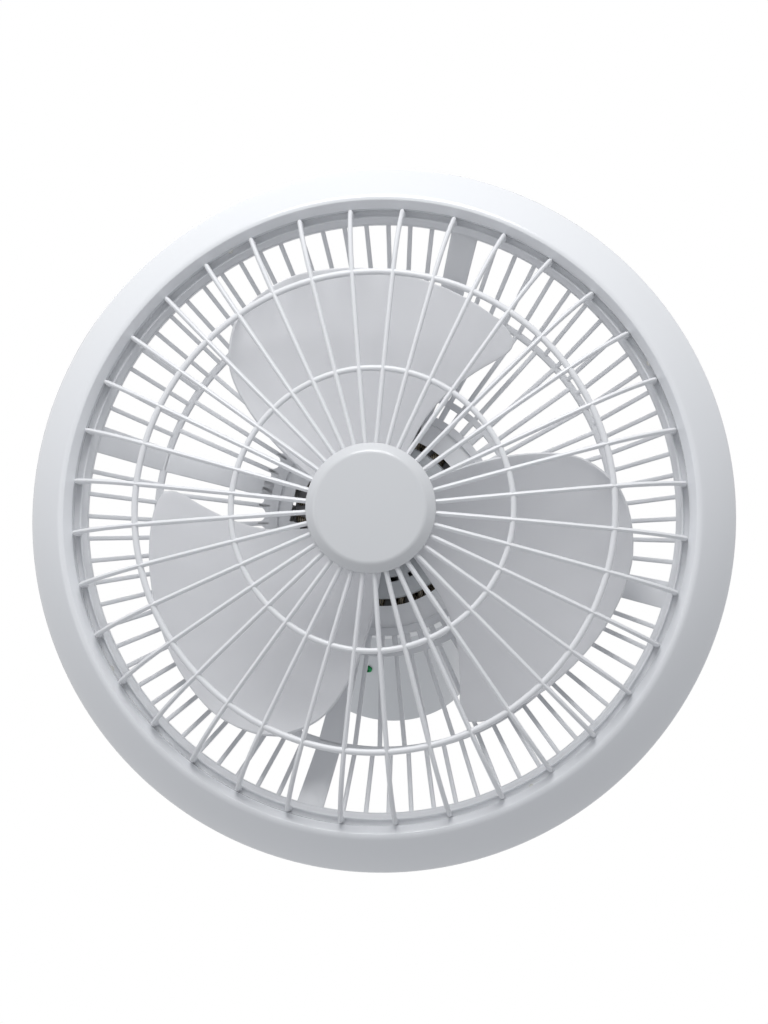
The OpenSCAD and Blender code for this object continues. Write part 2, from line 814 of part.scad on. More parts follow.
// Least gap between one loop of the coil and the next, measured on points
coil_fine = 4 * coil_steps;
coil_steps_all = coil_loops * coil_fine;
coil_gap = min([for (i = [0:coil_fine - 1], j = [-12:12])
  norm(coil_point((i + coil_fine + j) / coil_steps_all) - coil_point(i / coil_steps_all))])
  - 2 * coil_wire_r;
echo(coil_gap = coil_gap);

module front_winding() {
  points = [for (i = [0:coil_rings]) each coil_ring(i / coil_rings)];
  sides = [for (i = [0:coil_rings - 1], j = [0:coil_sides - 1])
    let (a = i * coil_sides + j, b = i * coil_sides + (j + 1) % coil_sides)
    each [[a, b, b + coil_sides], [a, b + coil_sides, a + coil_sides]]];
  last = coil_rings * coil_sides;
  caps = [for (j = [1:coil_sides - 2])
    each [[0, j + 1, j], [last, last + j, last + j + 1]]];
  color("sienna")
  head_frame() translate([0, 0, core_front + seam + winding_h / 2])
    polyhedron(points, concat(sides, caps));
}

module front_shield() {
  arm_w = 14;
  vents = 20;
  color("darkgray")
  head_frame()
  difference() {
    union() {
      translate([0, 0, shield_front]) cylinder(r = shield_disc_r, h = arm_t + pan_t - 1);
      translate([0, 0, pan_front - 1]) cylinder(r1 = shield_disc_r, r2 = shield_disc_r - 1, h = 1);
      translate([0, 0, core_front + 5]) cylinder(r = bearing_boss_r, h = shield_front - core_front - 4);
      around(motor_bolts_n, motor_turn) translate([shield_disc_r - 8, -arm_w / 2, shield_front])
        cube([ear_r - shield_disc_r + 8, arm_w, arm_t]);
      motor_posts(core_front, pan_back - core_front);
    }
    translate([0, 0, shield_front - bearing_len + 2]) cylinder(r = bearing_r, h = bearing_len + 10);
    translate([0, 0, core_front]) cylinder(r = shaft_r + 2, h = 20);
    around(vents) intersection() {
      translate([0, 0, shield_front - 1]) tube(vent_out_r, vent_out_r - vent_l, 8);
      translate([vent_out_r - 6, -2.8, shield_front - 1]) cube([10, 5.6, 8]);
    }
    around(motor_bolts_n, motor_turn) translate([ear_r, 0, core_front - 1]) cylinder(d = 4, h = 20);
  }
}

module front_bearing() {
  color("peru")
  head_frame() translate([0, 0, shield_front - bearing_len + 2]) sleeve_bearing();
}

module motor_bolts() {
  head_z = shield_back + 5;
  color("gainsboro")
  head_frame() around(motor_bolts_n, motor_turn) translate([ear_r, 0, head_z]) rotate([180, 0, 0])
    screw(4, core_front - head_z + 6, 7, 2.6);
}

module motor_pan() {
  color("whitesmoke")
  head_frame()
  difference() {
    translate([0, 0, pan_back]) cylinder(r = housing_out_r, h = pan_t);
    translate([0, 0, pan_back - 1]) cylinder(r = pan_hole_r, h = pan_t + 2);
    for (pocket = pockets) rotate([0, 0, pocket[0]]) translate([pan_hole_r - 12, -pocket_w / 2, pan_back - 1])
      cube([pocket[1] - pan_hole_r + 12, pocket_w, pan_t + 2]);
    around(motor_bolts_n, motor_turn) translate([ear_r, 0, pan_back - 1]) cylinder(d = 4, h = pan_t + 2);
  }
}

// ---- guards ----

// Side view of a rear rib's outer part, from the middle ring up to the rim
module rear_profile(r_in, top, t) {
  knee = mid_ring_r + ring_w / 2;
  end_r = rim_r - rim_w + 1;
  end_z = rim_front - 0.6 - top;
  low = guard_front - top;
  polygon([
    [r_in, low - t], [knee, low - t], [end_r, end_z - t], [end_r, end_z], [knee, low], [r_in, low]
  ]);
}

module outer_rib() {
  rotate([90, 0, 0]) linear_extrude(rear_rib_w, center = true)
    rear_profile(mid_ring_r + 1, 0.4, rear_rib_t - 0.8);
}

// Outline of a strut from above, wider towards the rim
module strut_plan(r_in) {
  half_root = strut_root_w / 2;
  half_rim = strut_rim_w / 2;
  polygon([[r_in, -half_root], [rim_r, -half_rim], [rim_r, half_rim], [r_in, half_root]]);
}

module strut_outer() {
  intersection() {
    rotate([90, 0, 0]) linear_extrude(2 * strut_rim_w, center = true)
      rear_profile(mid_ring_r + 1, 0.4, rear_rib_t - 0.8);
    linear_extrude(2 * rim_front) strut_plan(flange_out_r - 2);
  }
}

module strut_spine() {
  rotate([90, 0, 0]) linear_extrude(strut_spine_w, center = true)
    rear_profile(flange_out_r + 1, 1, strut_depth);
}

module flat_ring(r_in, r_out) {
  difference() {
    circle(r = r_out);
    circle(r = r_in);
  }
}

// Angle from strut q to the next one
function span(q) = q < 3 ? struts[q + 1] - struts[q] : struts[0] + 360 - struts[q];

function is_fine(q) = len(search(q, fine_side)) > 0;

function outer_rib_angles(q) =
  let (n = outer_ribs - (span(q) < 88.5 ? 1 : 0), pitch = (span(q) - 2 * strut_gap) / (n - 1))
  [for (j = [0:n - 1]) struts[q] + strut_gap + pitch * j];

function inner_rib_angles(q) =
  let (n = inner_ribs - (is_fine(q) ? 0 : 3))
  [for (j = [1:n]) struts[q] + span(q) * j / (n + 1)];

module sector(from, to) {
  far = 2 * mid_ring_r;
  steps = 8;
  polygon(concat([[0, 0]], [for (i = [0:steps])
    let (a = from + (to - from) * i / steps) [far * cos(a), far * sin(a)]]));
}

// Rounded inner ends of the slots between the ribs of quarter q
module slot_ends(q) {
  half = rear_rib_w / 2;
  step = span(q) / (inner_ribs - 2);
  end_c = (flange_out_r + 1.5) / (1 - sin(step / 2));
  difference() {
    intersection() {
      flat_ring(flange_out_r - 1, end_c);
      sector(struts[q], struts[q] + span(q));
    }
    for (j = [1:inner_ribs - 4]) rotate(struts[q] + step * (j + 0.5)) translate([end_c, 0])
      circle(r = end_c * sin(step / 2) - half + 0.25);
    for (side = [0, 1]) rotate(struts[q] + span(q) * side) rotate(step * (0.5 - side) + 1.6 * (1 - 2 * side))
      translate([end_c, 0]) circle(r = end_c * sin(step / 2) - half - 2);
  }
}

module rear_flat_zone() {
  flat_ring(flange_in_r, flange_out_r);
  flat_ring(mid_ring_r, mid_ring_r + ring_w);
  intersection() {
    flat_ring(window_out_r, inner_ring_r);
    sector(fine_span[0], fine_span[1]);
  }
  for (q = [0:3], turn = inner_rib_angles(q)) rotate(turn) {
    root_r = is_fine(q) ? inner_ring_r - 1 : flange_out_r - 1;
    translate([root_r, -rear_rib_w / 2]) square([mid_ring_r - root_r + 1, rear_rib_w]);
    if (is_fine(q)) translate([flange_out_r - 1, -window_web_w / 2])
      square([window_out_r - flange_out_r + 2, window_web_w]);
  }
  for (q = [0, 3]) slot_ends(q);
  for (turn = struts) rotate(turn) intersection() {
    strut_plan(flange_out_r - 2);
    circle(r = mid_ring_r + 2);
  }
}

module rear_guard() {
  color("whitesmoke")
  head_frame()
  difference() {
    union() {
      translate([0, 0, guard_front - rear_rib_t]) linear_extrude(rear_rib_t) rear_flat_zone();
      translate([0, 0, rim_front - rim_t]) tube(rim_r, rim_r - rim_w, rim_t);
      for (q = [0:3], turn = outer_rib_angles(q)) rotate([0, 0, turn]) outer_rib();
      for (turn = struts) rotate([0, 0, turn]) {
        strut_outer();
        strut_spine();
      }
      around(motor_bolts_n, motor_turn) translate([ear_r, 0, pan_front])
        cylinder(r = ear_pad_r + 1, h = pan_t);
    }
    translate([0, 0, pan_back - 2 * rear_rib_t])
      cylinder(r = housing_out_r + 0.2, h = 2 * rear_rib_t + pan_t);
    around(motor_bolts_n, motor_turn) translate([ear_r, 0, pan_front - 1]) cylinder(d = 4, h = pan_t + 2);
    rim_bores(rim_front - rim_t - 1, rim_t + 2);
  }
}

module rim_bores(z, h) {
  around(4, tab_turn) translate([rim_bore_r, 0, z]) cylinder(d = 4, h = h);
}

module guard_screws() {
  color("gainsboro")
  head_frame() around(motor_bolts_n, motor_turn) translate([ear_r, 0, guard_front])
    screw(4, guard_front - core_front - 8, 7.5, 2.4);
}

module trim_ring() {
  edge_r = 5.5;
  edge_c = [trim_bore_r + edge_r, trim_front - edge_r];
  leave = 50;
  start = edge_c + edge_r * [cos(leave), sin(leave)];
  finish = [trim_r, trim_lip + 4];
  slope = atan2(start[1] - finish[1], finish[0] - start[0]);
  bend = slope - (90 - leave);
  face_r = norm(finish - start) / (2 * sin(bend));
  face_c = start - face_r * [cos(leave), sin(leave)];
  outline = concat(
    [[trim_bore_r, trim_back]],
    arc(edge_c, edge_r, 180, leave + 6, 6),
    arc(face_c, face_r, leave, leave - 2 * bend, 12),
    [[trim_r, trim_lip], [trim_r - trim_wall, trim_lip]],
    arc(face_c, face_r - trim_wall, leave - 2 * bend, leave, 12),
    arc(edge_c, edge_r - trim_wall, leave + 6, 180, 6),
    [[trim_bore_r + trim_wall, trim_back]]
  );
  color("white")
  head_frame() {
    rotate_extrude() polygon(outline);
    trim_tabs();
  }
}

module trim_tabs() {
  around(4, tab_turn)
  difference() {
    intersection() {
      translate([rim_r - hoop_w + 0.3, -tab_w / 2, trim_back]) cube([trim_w, tab_w, tab_t]);
      translate([0, 0, trim_back]) cylinder(r = trim_bore_r + 1, h = tab_t);
    }
    translate([rim_bore_r, 0, trim_back - 1]) cylinder(d = 4, h = tab_t + 2);
  }
}

module rim_screws() {
  color("gainsboro")
  head_frame() around(4, tab_turn) translate([rim_bore_r, 0, trim_back]) rotate([180, 0, 0])
    screw(4, tab_t + rim_t + hoop_t - 1, 7.5, 2.4);
}

// Side view of one rib of the front grille: a shallow dome, a knee and a foot
module front_rib_profile() {
  start = asin((disc_r - 2) / dome_r);
  reach = 90 - knee_tilt - 2 * knee_bend;
  outer = concat(
    arc([0, dome_c], dome_r, 90 - start, 90 - knee_tilt, 6),
    arc([knee_x, knee_c], knee_r, 90 - knee_tilt, reach, 7)
  );
  inner = concat(
    arc([0, dome_c], dome_r - front_rib_t, 90 - start, 90 - knee_tilt, 6),
    arc([knee_x, knee_c], knee_r - front_rib_t, 90 - knee_tilt, reach, 7)
  );
  foot = [[rim_r, grille_edge_z - 1.5], [rim_r, hoop_front - 1], [rim_r - front_rib_t - 1, hoop_front - 1]];
  polygon(concat(outer, foot, reversed(inner)));
}

function front_rib_angle(i) =
  let (turn = 360 * i / front_ribs)
  turn + rib_turn - rib_drift * cos(turn - 50);

// Round ring half way through the depth of the dome's ribs
module grille_ring(r) {
  z = dome_c + sqrt(pow(dome_r - front_rib_t / 2, 2) - r * r);
  rotate_extrude() translate([r, z]) circle(d = front_rib_t - 0.4, $fn = 24);
}

module front_grille() {
  color("white")
  head_frame()
  difference() {
    union() {
      for (i = [0:front_ribs - 1]) rotate([0, 0, front_rib_angle(i)])
        rotate([90, 0, 0]) linear_extrude(front_rib_w, center = true) front_rib_profile();
      grille_ring(grille_ring1_r);
      grille_ring(grille_ring2_r);
      translate([0, 0, disc_back]) cylinder(r = disc_r, h = cap_back - disc_back - 0.5);
      translate([0, 0, rim_front]) tube(rim_r, rim_r - hoop_w, hoop_t);
    }
    around(3, 30) translate([hook_r - 2, -hook_w / 2 - 0.5, disc_back - 1]) cube([4, hook_w + 1, 20]);
    rim_bores(rim_front - 1, hoop_t);
  }
}

module centre_cap() {
  edge = cap_h - 1;
  outline = concat(
    [[0, cap_front], [0, cap_front - cap_wall]],
    arc([cap_r - edge, cap_front - edge], edge - cap_wall, 90, 0, 6),
    [[cap_r - cap_wall, cap_back], [cap_r, cap_back]],
    arc([cap_r - edge, cap_front - edge], edge, 0, 90, 8)
  );
  barb = 1.6;
  hook_len = cap_front - cap_wall - disc_back + 0.3;
  color("white")
  head_frame() {
    rotate_extrude() polygon(outline);
    around(3, 30) translate([hook_r - 1, -hook_w / 2, cap_front - cap_wall - hook_len - 2]) {
      cube([2, hook_w, hook_len + 2.5]);
      cube([2 + barb, hook_w, 1.8]);
    }
  }
}

// ---- rotor ----

module motor_shaft() {
  back = shield_back + shield_t + 0.5;
  color("silver")
  head_frame()
  difference() {
    translate([0, 0, back]) cylinder(r = shaft_r, h = shaft_end - back);
    translate([0, 0, hub_back + 3]) rotate([90, 0, 0])
      cylinder(r = pin_r, h = 2 * shaft_r + 2, center = true);
  }
}

module rotor_core() {
  cage = 4;
  color("dimgray")
  head_frame()
  difference() {
    union() {
      translate([0, 0, core_back]) cylinder(r = rotor_r, h = core_len);
      translate([0, 0, core_back - cage]) cylinder(r = rotor_r - 1.5, h = core_len + 2 * cage);
    }
    translate([0, 0, core_back - cage - 1]) cylinder(r = rotor_r - 12, h = cage + 1);
    translate([0, 0, core_front]) cylinder(r = rotor_r - 12, h = cage + 1);
    translate([0, 0, core_back - cage - 1]) cylinder(r = shaft_r, h = core_len + 2 * cage + 2);
  }
}

module thrust_washers() {
  thick = 1;
  rear_z = shield_back + shield_t + bearing_len + 0.3;
  front_z = shield_front - bearing_len + 2 - thick - 0.3;
  color("ivory")
  head_frame() for (z = [rear_z, front_z]) translate([0, 0, z]) tube(bearing_r - 0.5, shaft_r, thick);
}

// Edges of one blade as [radius, angle] points: root, leading side, tip, trailing side
drawn_tip_r = 184.5;
lead_side = [[29, 17], [52, 15], [72, 13.5], [90, 11], [115, 6], [142, 0.5], [153, -0.8], [160, 0]];
tip_side = [
  [160, 0], [165, 4], [169, 12], [175, 27], [181, 41], [184, 51], [184.5, 58], [180, 67], [173, 73]
];
trail_side = [[29, 104], [52, 98], [80, 93.5], [108, 89.5], [133, 85.5], [150, 82], [163, 77.5], [173, 73]];
blade_turn = 1.2;
blade_u = 15;
blade_v = 14;

function pick(list, i) = list[max(0, min(len(list) - 1, i))];

// Smooth curve through a list of points, t from 0 to 1
function smooth(list, t) =
  let (s = t * (len(list) - 1), i = min(floor(s), len(list) - 2), f = s - i,
       p0 = pick(list, i - 1), p1 = pick(list, i), p2 = pick(list, i + 1), p3 = pick(list, i + 2))
  0.5 * (2 * p1 + (p2 - p0) * f + (2 * p0 - 5 * p1 + 4 * p2 - p3) * f * f
    + (3 * p1 - p0 - 3 * p2 + p3) * f * f * f);

// Blade surface spanned between its four edges, u from root to tip, v across
function blade_polar(u, v) =
  let (lead = smooth(lead_side, u), trail = smooth(trail_side, u), tip = smooth(tip_side, v),
       root = lead_side[0] + (trail_side[0] - lead_side[0]) * v,
       corner = (1 - u) * ((1 - v) * lead_side[0] + v * trail_side[0])
         + u * ((1 - v) * tip_side[0] + v * tip_side[len(tip_side) - 1]))
  (1 - v) * lead + v * trail + (1 - u) * root + u * tip - corner;

function fitted(r) = r < hub_r ? r : hub_r + (r - hub_r) * (tip_r - hub_r) / (drawn_tip_r - hub_r);

function blade_point(u, v, lift) =
  let (p = blade_polar(u, v), r = fitted(p[0]),
       z = blade_mid + blade_rise * (v - 0.5) - blade_camber * 4 * v * (1 - v) * (1 - 0.3 * u) + 2)
  [r * cos(p[1]), r * sin(p[1]), z + lift];

module blade() {
  row = blade_v + 1;
  sheet = row * (blade_u + 1);
  points = [for (lift = [-blade_t / 2, blade_t / 2], i = [0:blade_u], j = [0:blade_v])
    blade_point(i / blade_u, j / blade_v, lift)];
  skin = [for (i = [0:blade_u - 1], j = [0:blade_v - 1])
    let (a = i * row + j)
    each [[a, a + 1, a + row + 1], [a, a + row + 1, a + row]]];
  border = concat(
    [for (j = [0:blade_v - 1]) [j + 1, j]],
    [for (i = [0:blade_u - 1]) [i * row, (i + 1) * row]],
    [for (j = [0:blade_v - 1]) [blade_u * row + j, blade_u * row + j + 1]],
    [for (i = [blade_u - 1:-1:0]) [(i + 1) * row + blade_v, i * row + blade_v]]
  );
  edge = [for (e = border) each [[e[0], e[1], e[1] + sheet], [e[0], e[1] + sheet, e[0] + sheet]]];
  polyhedron(points, concat(
    skin, [for (f = skin) [f[0] + sheet, f[2] + sheet, f[1] + sheet]],
    [for (f = edge) [f[1], f[0], f[2]]]));
}

module fan_blades() {
  boss_r = 9;
  dome = 8;
  outline = concat(
    [[shaft_r, hub_front - 8], [shaft_r, hub_front]],
    [[hub_r - dome, hub_front]], arc([hub_r - dome, hub_front - dome], dome, 90, 0, 5),
    [[hub_r, hub_back], [hub_r - hub_wall, hub_back], [hub_r - hub_wall, hub_front - dome]],
    arc([hub_r - dome, hub_front - dome], dome - hub_wall, 0, 90, 4),
    [[boss_r, hub_front - hub_wall], [boss_r, hub_back + 1], [shaft_r, hub_back + 1]]
  );
  color("gainsboro")
  head_frame()
  difference() {
    union() {
      rotate_extrude() polygon(outline);
      difference() {
        around(blades, blade_turn) blade();
        translate([0, 0, hub_back - 1]) cylinder(r = hub_r - 1, h = hub_len + 10);
      }
    }
    translate([-pin_r, -boss_r - 1, hub_back]) cube([2 * pin_r, 2 * boss_r + 2, 3 + pin_r]);
  }
}

module drive_pin() {
  color("gainsboro")
  head_frame() translate([0, 0, hub_back + 3]) rotate([90, 0, 0])
    cylinder(r = pin_r, h = pin_len, center = true);
}

module blade_nut() {
  grips = 12;
  color("whitesmoke")
  head_frame() translate([0, 0, hub_front])
  difference() {
    union() {
      cylinder(r = nut_r, h = nut_h - 5);
      translate([0, 0, nut_h - 5]) cylinder(r1 = nut_r, r2 = nut_r - 6, h = 5);
    }
    around(grips) translate([nut_r + 1.5, 0, 2]) cylinder(r = 3, h = nut_h);
    translate([0, 0, -1]) cylinder(r = shaft_r, h = nut_h - 2.5);
  }
}

ceiling_plate();
plate_grommet();
hanger();
hanger_screws();
terminal_block();
run_capacitor();
swing_motor();
mechanism_screws();
mechanism_case();
orbit_bush();
socket_housing();
case_screws();
retaining_ring();
ring_screws();
canopy();
canopy_screws();
canopy_gland();
earth_screw();
swing_shaft();
crank();
crank_bush();
crank_screw();
swivel_ball();
tail_pin();
anti_turn_peg();
neck();
neck_screws();
motor_cover();
cover_gland();
rear_shield();
rear_bearing();
stator_core();
rear_winding();
front_winding();
front_shield();
front_bearing();
motor_bolts();
motor_pan();
rear_guard();
guard_screws();
trim_ring();
rim_screws();
front_grille();
centre_cap();
motor_shaft();
rotor_core();
thrust_washers();
fan_blades();
drive_pin();
blade_nut();
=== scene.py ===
import json
import math

import bmesh
import bpy
from mathutils import Matrix, Vector


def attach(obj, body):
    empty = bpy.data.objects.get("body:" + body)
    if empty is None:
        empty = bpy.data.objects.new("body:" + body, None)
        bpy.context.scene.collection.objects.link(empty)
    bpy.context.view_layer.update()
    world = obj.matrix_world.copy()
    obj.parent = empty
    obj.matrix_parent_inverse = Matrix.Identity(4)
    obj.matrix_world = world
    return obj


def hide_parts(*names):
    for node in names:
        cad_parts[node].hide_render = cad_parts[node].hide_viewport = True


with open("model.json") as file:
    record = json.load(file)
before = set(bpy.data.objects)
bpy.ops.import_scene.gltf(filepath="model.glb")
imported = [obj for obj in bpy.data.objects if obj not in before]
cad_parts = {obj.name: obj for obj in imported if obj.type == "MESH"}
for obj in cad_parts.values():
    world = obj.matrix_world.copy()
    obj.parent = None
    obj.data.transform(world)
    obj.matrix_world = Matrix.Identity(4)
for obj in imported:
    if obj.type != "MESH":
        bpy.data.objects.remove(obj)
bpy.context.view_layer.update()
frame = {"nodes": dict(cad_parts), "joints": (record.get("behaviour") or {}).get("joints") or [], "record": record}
nodes = frame["nodes"]
print("frame loaded", len(nodes))

# the head's own frame: +Z points out of the fan's front, in metres from the ball's centre
headJoint = [j for j in frame["joints"] if j["name"] == "head_swivel"][0]
pivot = Vector(headJoint["pos_m"])
tilt = math.acos(headJoint["axis"][2])
headMatrix = Matrix.Translation(pivot) @ Matrix.Rotation(math.pi - tilt, 4, "X")
mm = 0.001
sameSpot = 1e-6
softSteps = 3


# small helpers for selecting, shaping and finishing
def clearSelection():
    if bpy.context.object and bpy.context.object.mode != "OBJECT":
        bpy.ops.object.mode_set(mode="OBJECT")
    bpy.ops.object.select_all(action="DESELECT")


def editMode(obj, kind="FACE"):
    clearSelection()
    obj.select_set(True)
    bpy.context.view_layer.objects.active = obj
    bpy.ops.object.mode_set(mode="EDIT")
    bpy.ops.mesh.select_mode(type=kind)
    bpy.ops.mesh.select_all(action="SELECT")


def objectMode():
    bpy.ops.object.mode_set(mode="OBJECT")


def tidyMesh(obj):
    editMode(obj, "VERT")
    bpy.ops.mesh.remove_doubles(threshold=sameSpot)
    bpy.ops.mesh.delete_loose()
    bpy.ops.mesh.select_all(action="SELECT")
    bpy.ops.mesh.normals_make_consistent(inside=False)
    objectMode()


def applyModifiers(obj):
    clearSelection()
    obj.select_set(True)
    bpy.context.view_layer.objects.active = obj
    for m in list(obj.modifiers):
        bpy.ops.object.modifier_apply(modifier=m.name)


def softEdges(obj, width, angle):
    m = obj.modifiers.new("edges", "BEVEL")
    m.width = width * mm
    m.segments = softSteps
    m.limit_method = "ANGLE"
    m.angle_limit = math.radians(angle)
    m.harden_normals = False
    applyModifiers(obj)


def smoothShade(obj, angle):
    clearSelection()
    obj.select_set(True)
    bpy.context.view_layer.objects.active = obj
    bpy.ops.object.shade_smooth_by_angle(angle=math.radians(angle))


# a chain of points (radius, height) in mm, spun round Z; closed chains make rings
def turned(name, chain, steps=128, closed=True):
    clearSelection()
    bpy.ops.mesh.primitive_plane_add(size=0.01)
    obj = bpy.context.object
    obj.name = name
    editMode(obj, "VERT")
    bpy.ops.mesh.merge(type="CENTER")
    first = Vector((chain[0][0] * mm, 0, chain[0][1] * mm))
    bpy.ops.transform.translate(value=first)
    at = first
    for r, z in chain[1:]:
        to = Vector((r * mm, 0, z * mm))
        bpy.ops.mesh.extrude_vertices_move(TRANSFORM_OT_translate={"value": to - at})
        at = to
    if closed:
        bm = bmesh.from_edit_mesh(obj.data)
        bm.verts.ensure_lookup_table()
        ends = [v for v in bm.verts if len(v.link_edges) == 1]
        for v in bm.verts:
            v.select_set(v in ends)
        bm.select_flush_mode()
        bmesh.update_edit_mesh(obj.data)
        bpy.ops.mesh.edge_face_add()
    bpy.ops.mesh.select_all(action="SELECT")
    bpy.ops.mesh.spin(steps=steps, angle=2 * math.pi, center=(0, 0, 0), axis=(0, 0, 1))
    objectMode()
    tidyMesh(obj)
    return obj


# closes the open start of a swept face
def closeStart():
    bpy.ops.mesh.select_all(action="DESELECT")
    bpy.ops.mesh.select_mode(type="EDGE")
    bpy.ops.mesh.select_non_manifold()
    bpy.ops.mesh.edge_face_add()


# n + 1 points on an arc from angle a to angle b, in degrees
def roundCorner(cx, cz, r, a, b, n):
    return [(cx + r * math.cos(math.radians(a + (b - a) * i / n)),
             cz + r * math.sin(math.radians(a + (b - a) * i / n))) for i in range(n + 1)]


def box(name, size, at):
    clearSelection()
    bpy.ops.mesh.primitive_cube_add(size=1)
    obj = bpy.context.object
    obj.name = name
    scale = Matrix.Diagonal([s * mm for s in size] + [1])
    obj.data.transform(Matrix.Translation([c * mm for c in at]) @ scale)
    return obj


def copied(obj, name, matrix):
    new = obj.copy()
    new.data = obj.data.copy()
    new.name = name
    new.data.name = name
    bpy.context.scene.collection.objects.link(new)
    new.data.transform(matrix)
    return new


def joined(name, parts):
    clearSelection()
    for p in parts:
        p.select_set(True)
    bpy.context.view_layer.objects.active = parts[0]
    if len(parts) > 1:
        bpy.ops.object.join()
    obj = bpy.context.object
    obj.name = name
    obj.data.name = name
    return obj


# puts a piece's place into its mesh, gives it its finish and ties it to its body
def finished(obj, body, material, matrix):
    obj.data.transform(obj.matrix_basis)
    obj.matrix_basis = Matrix.Identity(4)
    obj.data.transform(matrix)
    obj.data.materials.clear()
    obj.data.materials.append(material)
    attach(obj, body)


def turnZ(degrees):
    return Matrix.Rotation(math.radians(degrees), 4, "Z")


# materials, one function for each kind of surface
def newMaterial(name):
    mat = bpy.data.materials.new(name)
    mat.use_nodes = True
    return mat, mat.node_tree.nodes, mat.node_tree.links


def addNode(tree, kind, **sockets):
    n = tree.new(kind)
    for k, v in sockets.items():
        n.inputs[k.replace("_", " ")].default_value = v
    return n


# moulded plastic or enamel: slight cloudiness in colour and gloss, fine orange peel
def plastic(name, colour, rough, vary=0.02, peel=0.02, peelScale=350, coat=0.0):
    mat, tree, links = newMaterial(name)
    shader = tree["Principled BSDF"]
    where = tree.new("ShaderNodeTexCoord")
    clouds = addNode(tree, "ShaderNodeTexNoise", Scale=9.0, Detail=3.0, Roughness=0.55)
    links.new(where.outputs["Object"], clouds.inputs["Vector"])
    mix = tree.new("ShaderNodeMix")
    mix.data_type = "RGBA"
    mix.inputs["A"].default_value = (*[c * (1 - vary) for c in colour], 1)
    mix.inputs["B"].default_value = (*[min(1, c * (1 + vary)) for c in colour], 1)
    links.new(clouds.outputs["Fac"], mix.inputs["Factor"])
    links.new(mix.outputs["Result"], shader.inputs["Base Color"])
    gloss = tree.new("ShaderNodeMapRange")
    gloss.inputs["To Min"].default_value = rough * 0.9
    gloss.inputs["To Max"].default_value = rough * 1.12
    links.new(clouds.outputs["Fac"], gloss.inputs["Value"])
    links.new(gloss.outputs["Result"], shader.inputs["Roughness"])
    grain = addNode(tree, "ShaderNodeTexNoise", Scale=float(peelScale), Detail=2.0)
    links.new(where.outputs["Object"], grain.inputs["Vector"])
    bump = addNode(tree, "ShaderNodeBump", Strength=peel, Distance=0.0004)
    links.new(grain.outputs["Fac"], bump.inputs["Height"])
    links.new(bump.outputs["Normal"], shader.inputs["Normal"])
    shader.inputs["Coat Weight"].default_value = coat
    shader.inputs["Coat Roughness"].default_value = 0.08
    return mat


# bare or plated metal: stretched scratches along one axis and dull blotches
def metal(name, colour, rough, stretch=(1, 1, 1), scratch=0.05, scale=300, blotch=0.15):
    mat, tree, links = newMaterial(name)
    shader = tree["Principled BSDF"]
    shader.inputs["Metallic"].default_value = 1.0
    where = tree.new("ShaderNodeTexCoord")
    mapping = addNode(tree, "ShaderNodeMapping", Scale=stretch)
    links.new(where.outputs["Object"], mapping.inputs["Vector"])
    lines = addNode(tree, "ShaderNodeTexNoise", Scale=float(scale), Detail=4.0)
    links.new(mapping.outputs["Vector"], lines.inputs["Vector"])
    dull = addNode(tree, "ShaderNodeTexNoise", Scale=35.0, Detail=3.0)
    links.new(where.outputs["Object"], dull.inputs["Vector"])
    ramp = tree.new("ShaderNodeMix")
    ramp.data_type = "RGBA"
    ramp.inputs["A"].default_value = (*[c * (1 - blotch) for c in colour], 1)
    ramp.inputs["B"].default_value = (*[min(1, c * (1 + blotch)) for c in colour], 1)
    links.new(dull.outputs["Fac"], ramp.inputs["Factor"])
    links.new(ramp.outputs["Result"], shader.inputs["Base Color"])
    gloss = tree.new("ShaderNodeMapRange")
    gloss.inputs["To Min"].default_value = rough * 0.8
    gloss.inputs["To Max"].default_value = rough * 1.25
    links.new(lines.outputs["Fac"], gloss.inputs["Value"])
    links.new(gloss.outputs["Result"], shader.inputs["Roughness"])
    bump = addNode(tree, "ShaderNodeBump", Strength=scratch, Distance=0.0003)
    links.new(lines.outputs["Fac"], bump.inputs["Height"])
    links.new(bump.outputs["Normal"], shader.inputs["Normal"])
    return mat


# varnished winding: fine wires shown as bands round the bundle
def winding(name, dark, light):
    mat, tree, links = newMaterial(name)
    shader = tree["Principled BSDF"]
    shader.inputs["Metallic"].default_value = 0.1
    shader.inputs["Roughness"].default_value = 0.4
    shader.inputs["Coat Weight"].default_value = 0.6
    shader.inputs["Coat Roughness"].default_value = 0.15
    where = tree.new("ShaderNodeTexCoord")
    wires = addNode(tree, "ShaderNodeTexWave", Scale=220.0, Distortion=6.0, Detail=2.0)
    wires.inputs["Detail Scale"].default_value = 1.5
    links.new(where.outputs["Object"], wires.inputs["Vector"])
    mix = tree.new("ShaderNodeMix")
    mix.data_type = "RGBA"
    mix.inputs["A"].default_value = (*dark, 1)
    mix.inputs["B"].default_value = (*light, 1)
    links.new(wires.outputs["Fac"], mix.inputs["Factor"])
    links.new(mix.outputs["Result"], shader.inputs["Base Color"])
    bump = addNode(tree, "ShaderNodeBump", Strength=0.5, Distance=0.0005)
    links.new(wires.outputs["Fac"], bump.inputs["Height"])
    links.new(bump.outputs["Normal"], shader.inputs["Normal"])
    return mat


